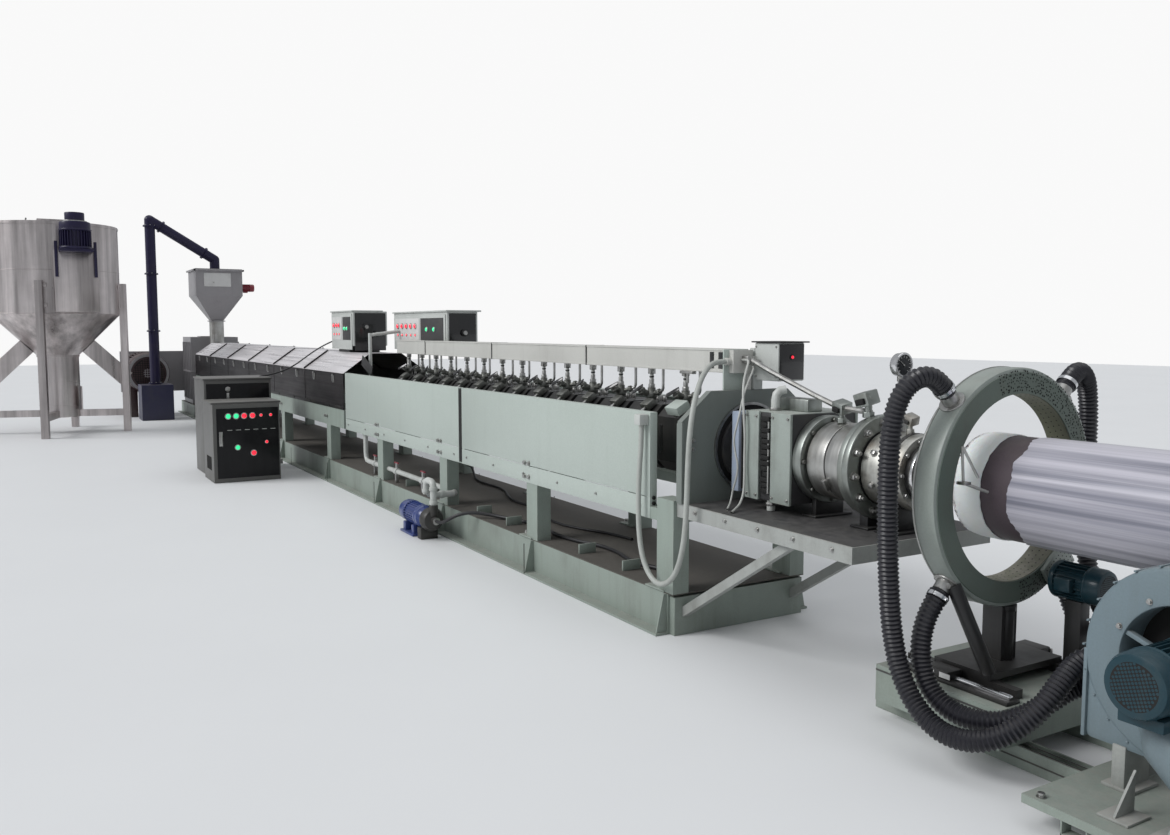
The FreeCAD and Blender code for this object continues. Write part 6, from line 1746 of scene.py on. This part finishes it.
class LINE_OT_controls(bpy.types.Operator):
    """The two temperature boxes over the barrel with their windows, lamps and knobs"""

    bl_idname = "line.controls"
    bl_label = "Temperature Boxes"

    def execute(self, context):
        case = Shape()
        case.block((-6.998, -0.188, 1.42), (-6.202, 0.188, 1.788), 0, 0.006)
        case.block((-6.8, -0.168, 1.35), (-6.4, 0.168, 1.422), 1, 0.003)
        case.block((-5.498, 0.017, 1.40), (-4.102, 0.313, 1.758), 0, 0.006)
        for start in (-5.45, -4.25):
            case.block((start, 0.03, 1.371), (start + 0.1, 0.30, 1.402), 1, 0.003)
        case.block((-7.868, -1.538, 0.0), (-7.252, -0.822, 1.048), 2, 0.006)
        case.piece("control_cases", ["white_box", "black_paint", "cabinet_grey"], replaces=["control_boxes"],
                   slot="control_white")
        face = Shape()
        glow = Shape()
        for start, wide, out, floor_at, top, count in ((-7.0, 0.80, -0.19, 1.35, 1.79, 3),
                                                       (-5.5, 1.40, 0.015, 1.37, 1.76, 5)):
            tall = top - floor_at
            face.block((start + 0.03, out - 0.006, floor_at + 0.03), (start + wide - 0.03, out, top - 0.03), 2, 0.002)
            half = start + wide * 0.52
            face.block((start + 0.07, out - 0.010, floor_at + tall * 0.30), (half, out - 0.004, top - 0.06), 3, 0.002)
            face.block((half + 0.04, out - 0.010, floor_at + tall * 0.30), (start + wide - 0.07, out - 0.004, top - 0.06),
                       4, 0.002)
            room = half - start - 0.13
            for number in range(count):
                along = start + 0.10 + room * (number + 0.5) / count
                lamp(face, glow, (along, out - 0.010, floor_at + tall * 0.66), (0, -1, 0), 0.022, 1)
                lamp(face, glow, (along, out - 0.010, floor_at + tall * 0.44), (0, -1, 0), 0.012, 1)
            for step in (0.30, 0.62):
                along = half + 0.04 + (start + wide - 0.07 - half - 0.04) * step
                lamp(face, glow, (along, out - 0.010, floor_at + tall * 0.58), (0, -1, 0), 0.02, 0)
            end = start + wide
            inner = out + 0.02
            outer = out + (0.36 if count == 3 else 0.28)
            face.block((end - 0.002, inner, floor_at + 0.02), (end + 0.003, outer, top - 0.02), 5, 0.002)
            knobs = ((0.35, 0.62), (0.68, 0.45)) if count == 3 else ((0.55, 0.5),)
            for share, rise in knobs:
                spot = Vector((end + 0.003, inner + (outer - inner) * share, floor_at + tall * rise))
                face.rod(spot, spot + X_AXIS * 0.03, 0.032, 0, 20, 0.004)
                face.rod(spot + X_AXIS * 0.028, spot + X_AXIS * 0.034, 0.02, 1, 16, 0.002)
            face.block((start - 0.008, out - 0.012, top - 0.006), (end + 0.010, out + 0.33, top + 0.008), 2, 0.003)
        face.piece("control_faces", ["black_paint", "bolt_steel", "white_box", "strip_white", "table_dark",
                                     "black_gloss"], slot="control_white")
        glow.piece("control_lamps", ["lamp_green", "lamp_red"], slot="control_white")

        pole = Shape()
        pole.rod((-5.30, -0.30, 0.79), (-5.30, -0.30, 1.56), 0.017, 0, 16)
        pole.rod((-5.30, -0.30, 1.54), (-5.30, 0.02, 1.58), 0.017, 0, 16)
        pole.block((-0.16, -0.006, -0.05), (0.16, 0.006, 0.05), 1, 0.004,
                   Matrix.Translation((-5.22, -0.36, 1.24)) @ Matrix.Rotation(0.35, 4, "Y"))
        pole.piece("cover_post", ["pipe_white", "black_paint"], slot="control_white")
        return {"FINISHED"}


class LINE_OT_pump(bpy.types.Operator):
    """The water pump with its motor, its white bent pipe and the pipes along the deck"""

    bl_idname = "line.pump"
    bl_label = "Water Pump and Pipes"

    def execute(self, context):
        made = Shape()
        made.add(machine(0.36, 0.088, 26), aim((-2.985, -0.65, 0.16), (-1, 0, 0), math.radians(90)))
        made.turned([(0, 0), (0.075, 0), (0.088, 0.012), (0.088, 0.05), (0.07, 0.07), (0.06, 0.1), (0, 0.1)],
                    (-2.99, -0.65, 0.16), X_AXIS, 0, 36)
        made.turned([(0, 0), (0.06, 0), (0.088, 0.02), (0.092, 0.06), (0.075, 0.10), (0.03, 0.115), (0.03, 0.155),
                     (0, 0.155)], (-2.886, -0.65, 0.16), X_AXIS, 3, 36)
        made.rod((-2.745, -0.65, 0.16), (-2.7305, -0.65, 0.16), 0.03, 2, 20, 0.003)
        made.rod((-2.792, -0.65, 0.19), (-2.792, -0.65, 0.275), 0.034, 3, 24, 0.004)
        made.block((-3.30, -0.735, 0.0), (-3.02, -0.565, 0.018), 0, 0.003)
        for start in (-3.27, -3.09):
            made.block((start, -0.72, 0.015), (start + 0.05, -0.58, 0.085), 0, 0.004)
        made.block((-2.96, -0.72, 0.0), (-2.88, -0.58, 0.09), 3, 0.006)
        made.piece("pump_and_motor", ["pump_blue", "hole_black", "bolt_steel", "black_paint"],
                   replaces=["water_pump"], slot="pump_blue", smooth=35)

        pipes = Shape()
        bend = [(-2.792, -0.65, 0.26), (-2.792, -0.65, 0.40), (-2.797, -0.65, 0.425), (-2.812, -0.65, 0.443),
                (-2.835, -0.65, 0.45), (-2.90, -0.65, 0.45), (-2.923, -0.65, 0.443), (-2.938, -0.65, 0.425),
                (-2.943, -0.65, 0.40), (-2.943, -0.65, 0.34)]
        pipes.sweep(bend, [0.025] * len(bend), 0, 20)
        back = [(-2.943, -0.65, 0.37), (-2.943, -0.62, 0.335), (-2.943, -0.58, 0.325), (-2.943, -0.42, 0.325)]
        pipes.sweep(back, [0.025] * len(back), 0, 20)
        for spot, way in (((-2.792, -0.65, 0.28), Z_AXIS), ((-2.792, -0.65, 0.385), Z_AXIS),
                          ((-2.943, -0.65, 0.35), Z_AXIS), ((-2.943, -0.54, 0.325), Y_AXIS)):
            pipes.rod(Vector(spot), Vector(spot) + way * 0.03, 0.031, 0, 24, 0.003)
        run = [(-2.943, -0.43, 0.325), (-2.96, -0.405, 0.325), (-2.99, -0.395, 0.325), (-5.10, -0.395, 0.325),
               (-5.16, -0.395, 0.33), (-5.19, -0.395, 0.36), (-5.20, -0.395, 0.40), (-5.20, -0.395, 0.60)]
        pipes.sweep(run, [0.022] * len(run), 0, 18)
        for along in (-3.7, -4.35, -4.95):
            pipes.rod((along, -0.395, 0.325), (along + 0.06, -0.395, 0.325), 0.030, 0, 20, 0.003)
            pipes.rod((along + 0.03, -0.395, 0.345), (along + 0.03, -0.395, 0.40), 0.012, 1, 12)
            pipes.block((along - 0.02, -0.403, 0.395), (along + 0.08, -0.387, 0.408), 2, 0.004)
            pipes.block((along + 0.015, -0.41, 0.2215), (along + 0.045, -0.38, 0.31), 1, 0.002)
        pipes.rod((-5.20, -0.395, 0.56), (-5.20, -0.395, 0.60), 0.029, 0, 20, 0.003)
        pipes.piece("water_pipes", ["pipe_white", "bolt_steel", "motor_red"], slot="conduit_grey")
        return {"FINISHED"}


# ---- panel, registration and main ----

STEPS = [
    LINE_OT_stage, LINE_OT_hoses, LINE_OT_cables, LINE_OT_skid, LINE_OT_panels, LINE_OT_barrel, LINE_OT_valves,
    LINE_OT_trunk, LINE_OT_sensor, LINE_OT_adapter, LINE_OT_die, LINE_OT_table, LINE_OT_air_ring, LINE_OT_film,
    LINE_OT_blower, LINE_OT_silo, LINE_OT_feeder, LINE_OT_drive, LINE_OT_cabinets, LINE_OT_controls, LINE_OT_pump,
]


class LINE_PT_build(bpy.types.Panel):
    """The line's colours, sizes and build steps"""

    bl_idname = "LINE_PT_build"
    bl_label = "Extrusion Line"
    bl_space_type = "VIEW_3D"
    bl_region_type = "UI"
    bl_category = "Line"

    def draw(self, context):
        layout = self.layout
        scene = context.scene
        for group in (scene.line_colours, scene.line_sizes):
            box = layout.box()
            for name in group.bl_rna.properties.keys():
                if name not in ("rna_type", "name"):
                    box.prop(group, name)
        for step in STEPS:
            layout.operator(step.bl_idname)


CLASSES = [LineColours, LineSizes, *STEPS, LINE_PT_build]


def register():
    for each in CLASSES:
        bpy.utils.register_class(each)
    bpy.types.Scene.line_colours = bpy.props.PointerProperty(type=LineColours)
    bpy.types.Scene.line_sizes = bpy.props.PointerProperty(type=LineSizes)


def unregister():
    del bpy.types.Scene.line_sizes
    del bpy.types.Scene.line_colours
    for each in reversed(CLASSES):
        bpy.utils.unregister_class(each)


def main():
    register()
    for step in STEPS:
        family, name = step.bl_idname.split(".")
        getattr(getattr(bpy.ops, family), name)()
    bare = [name for name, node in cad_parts.items() if not node.hide_render
            and (not node.data.materials or not node.data.materials[0].name.endswith("_finish"))]
    if bare:
        raise RuntimeError(f"nodes without a finish: {bare}")


if __name__ == "__main__":
    main()
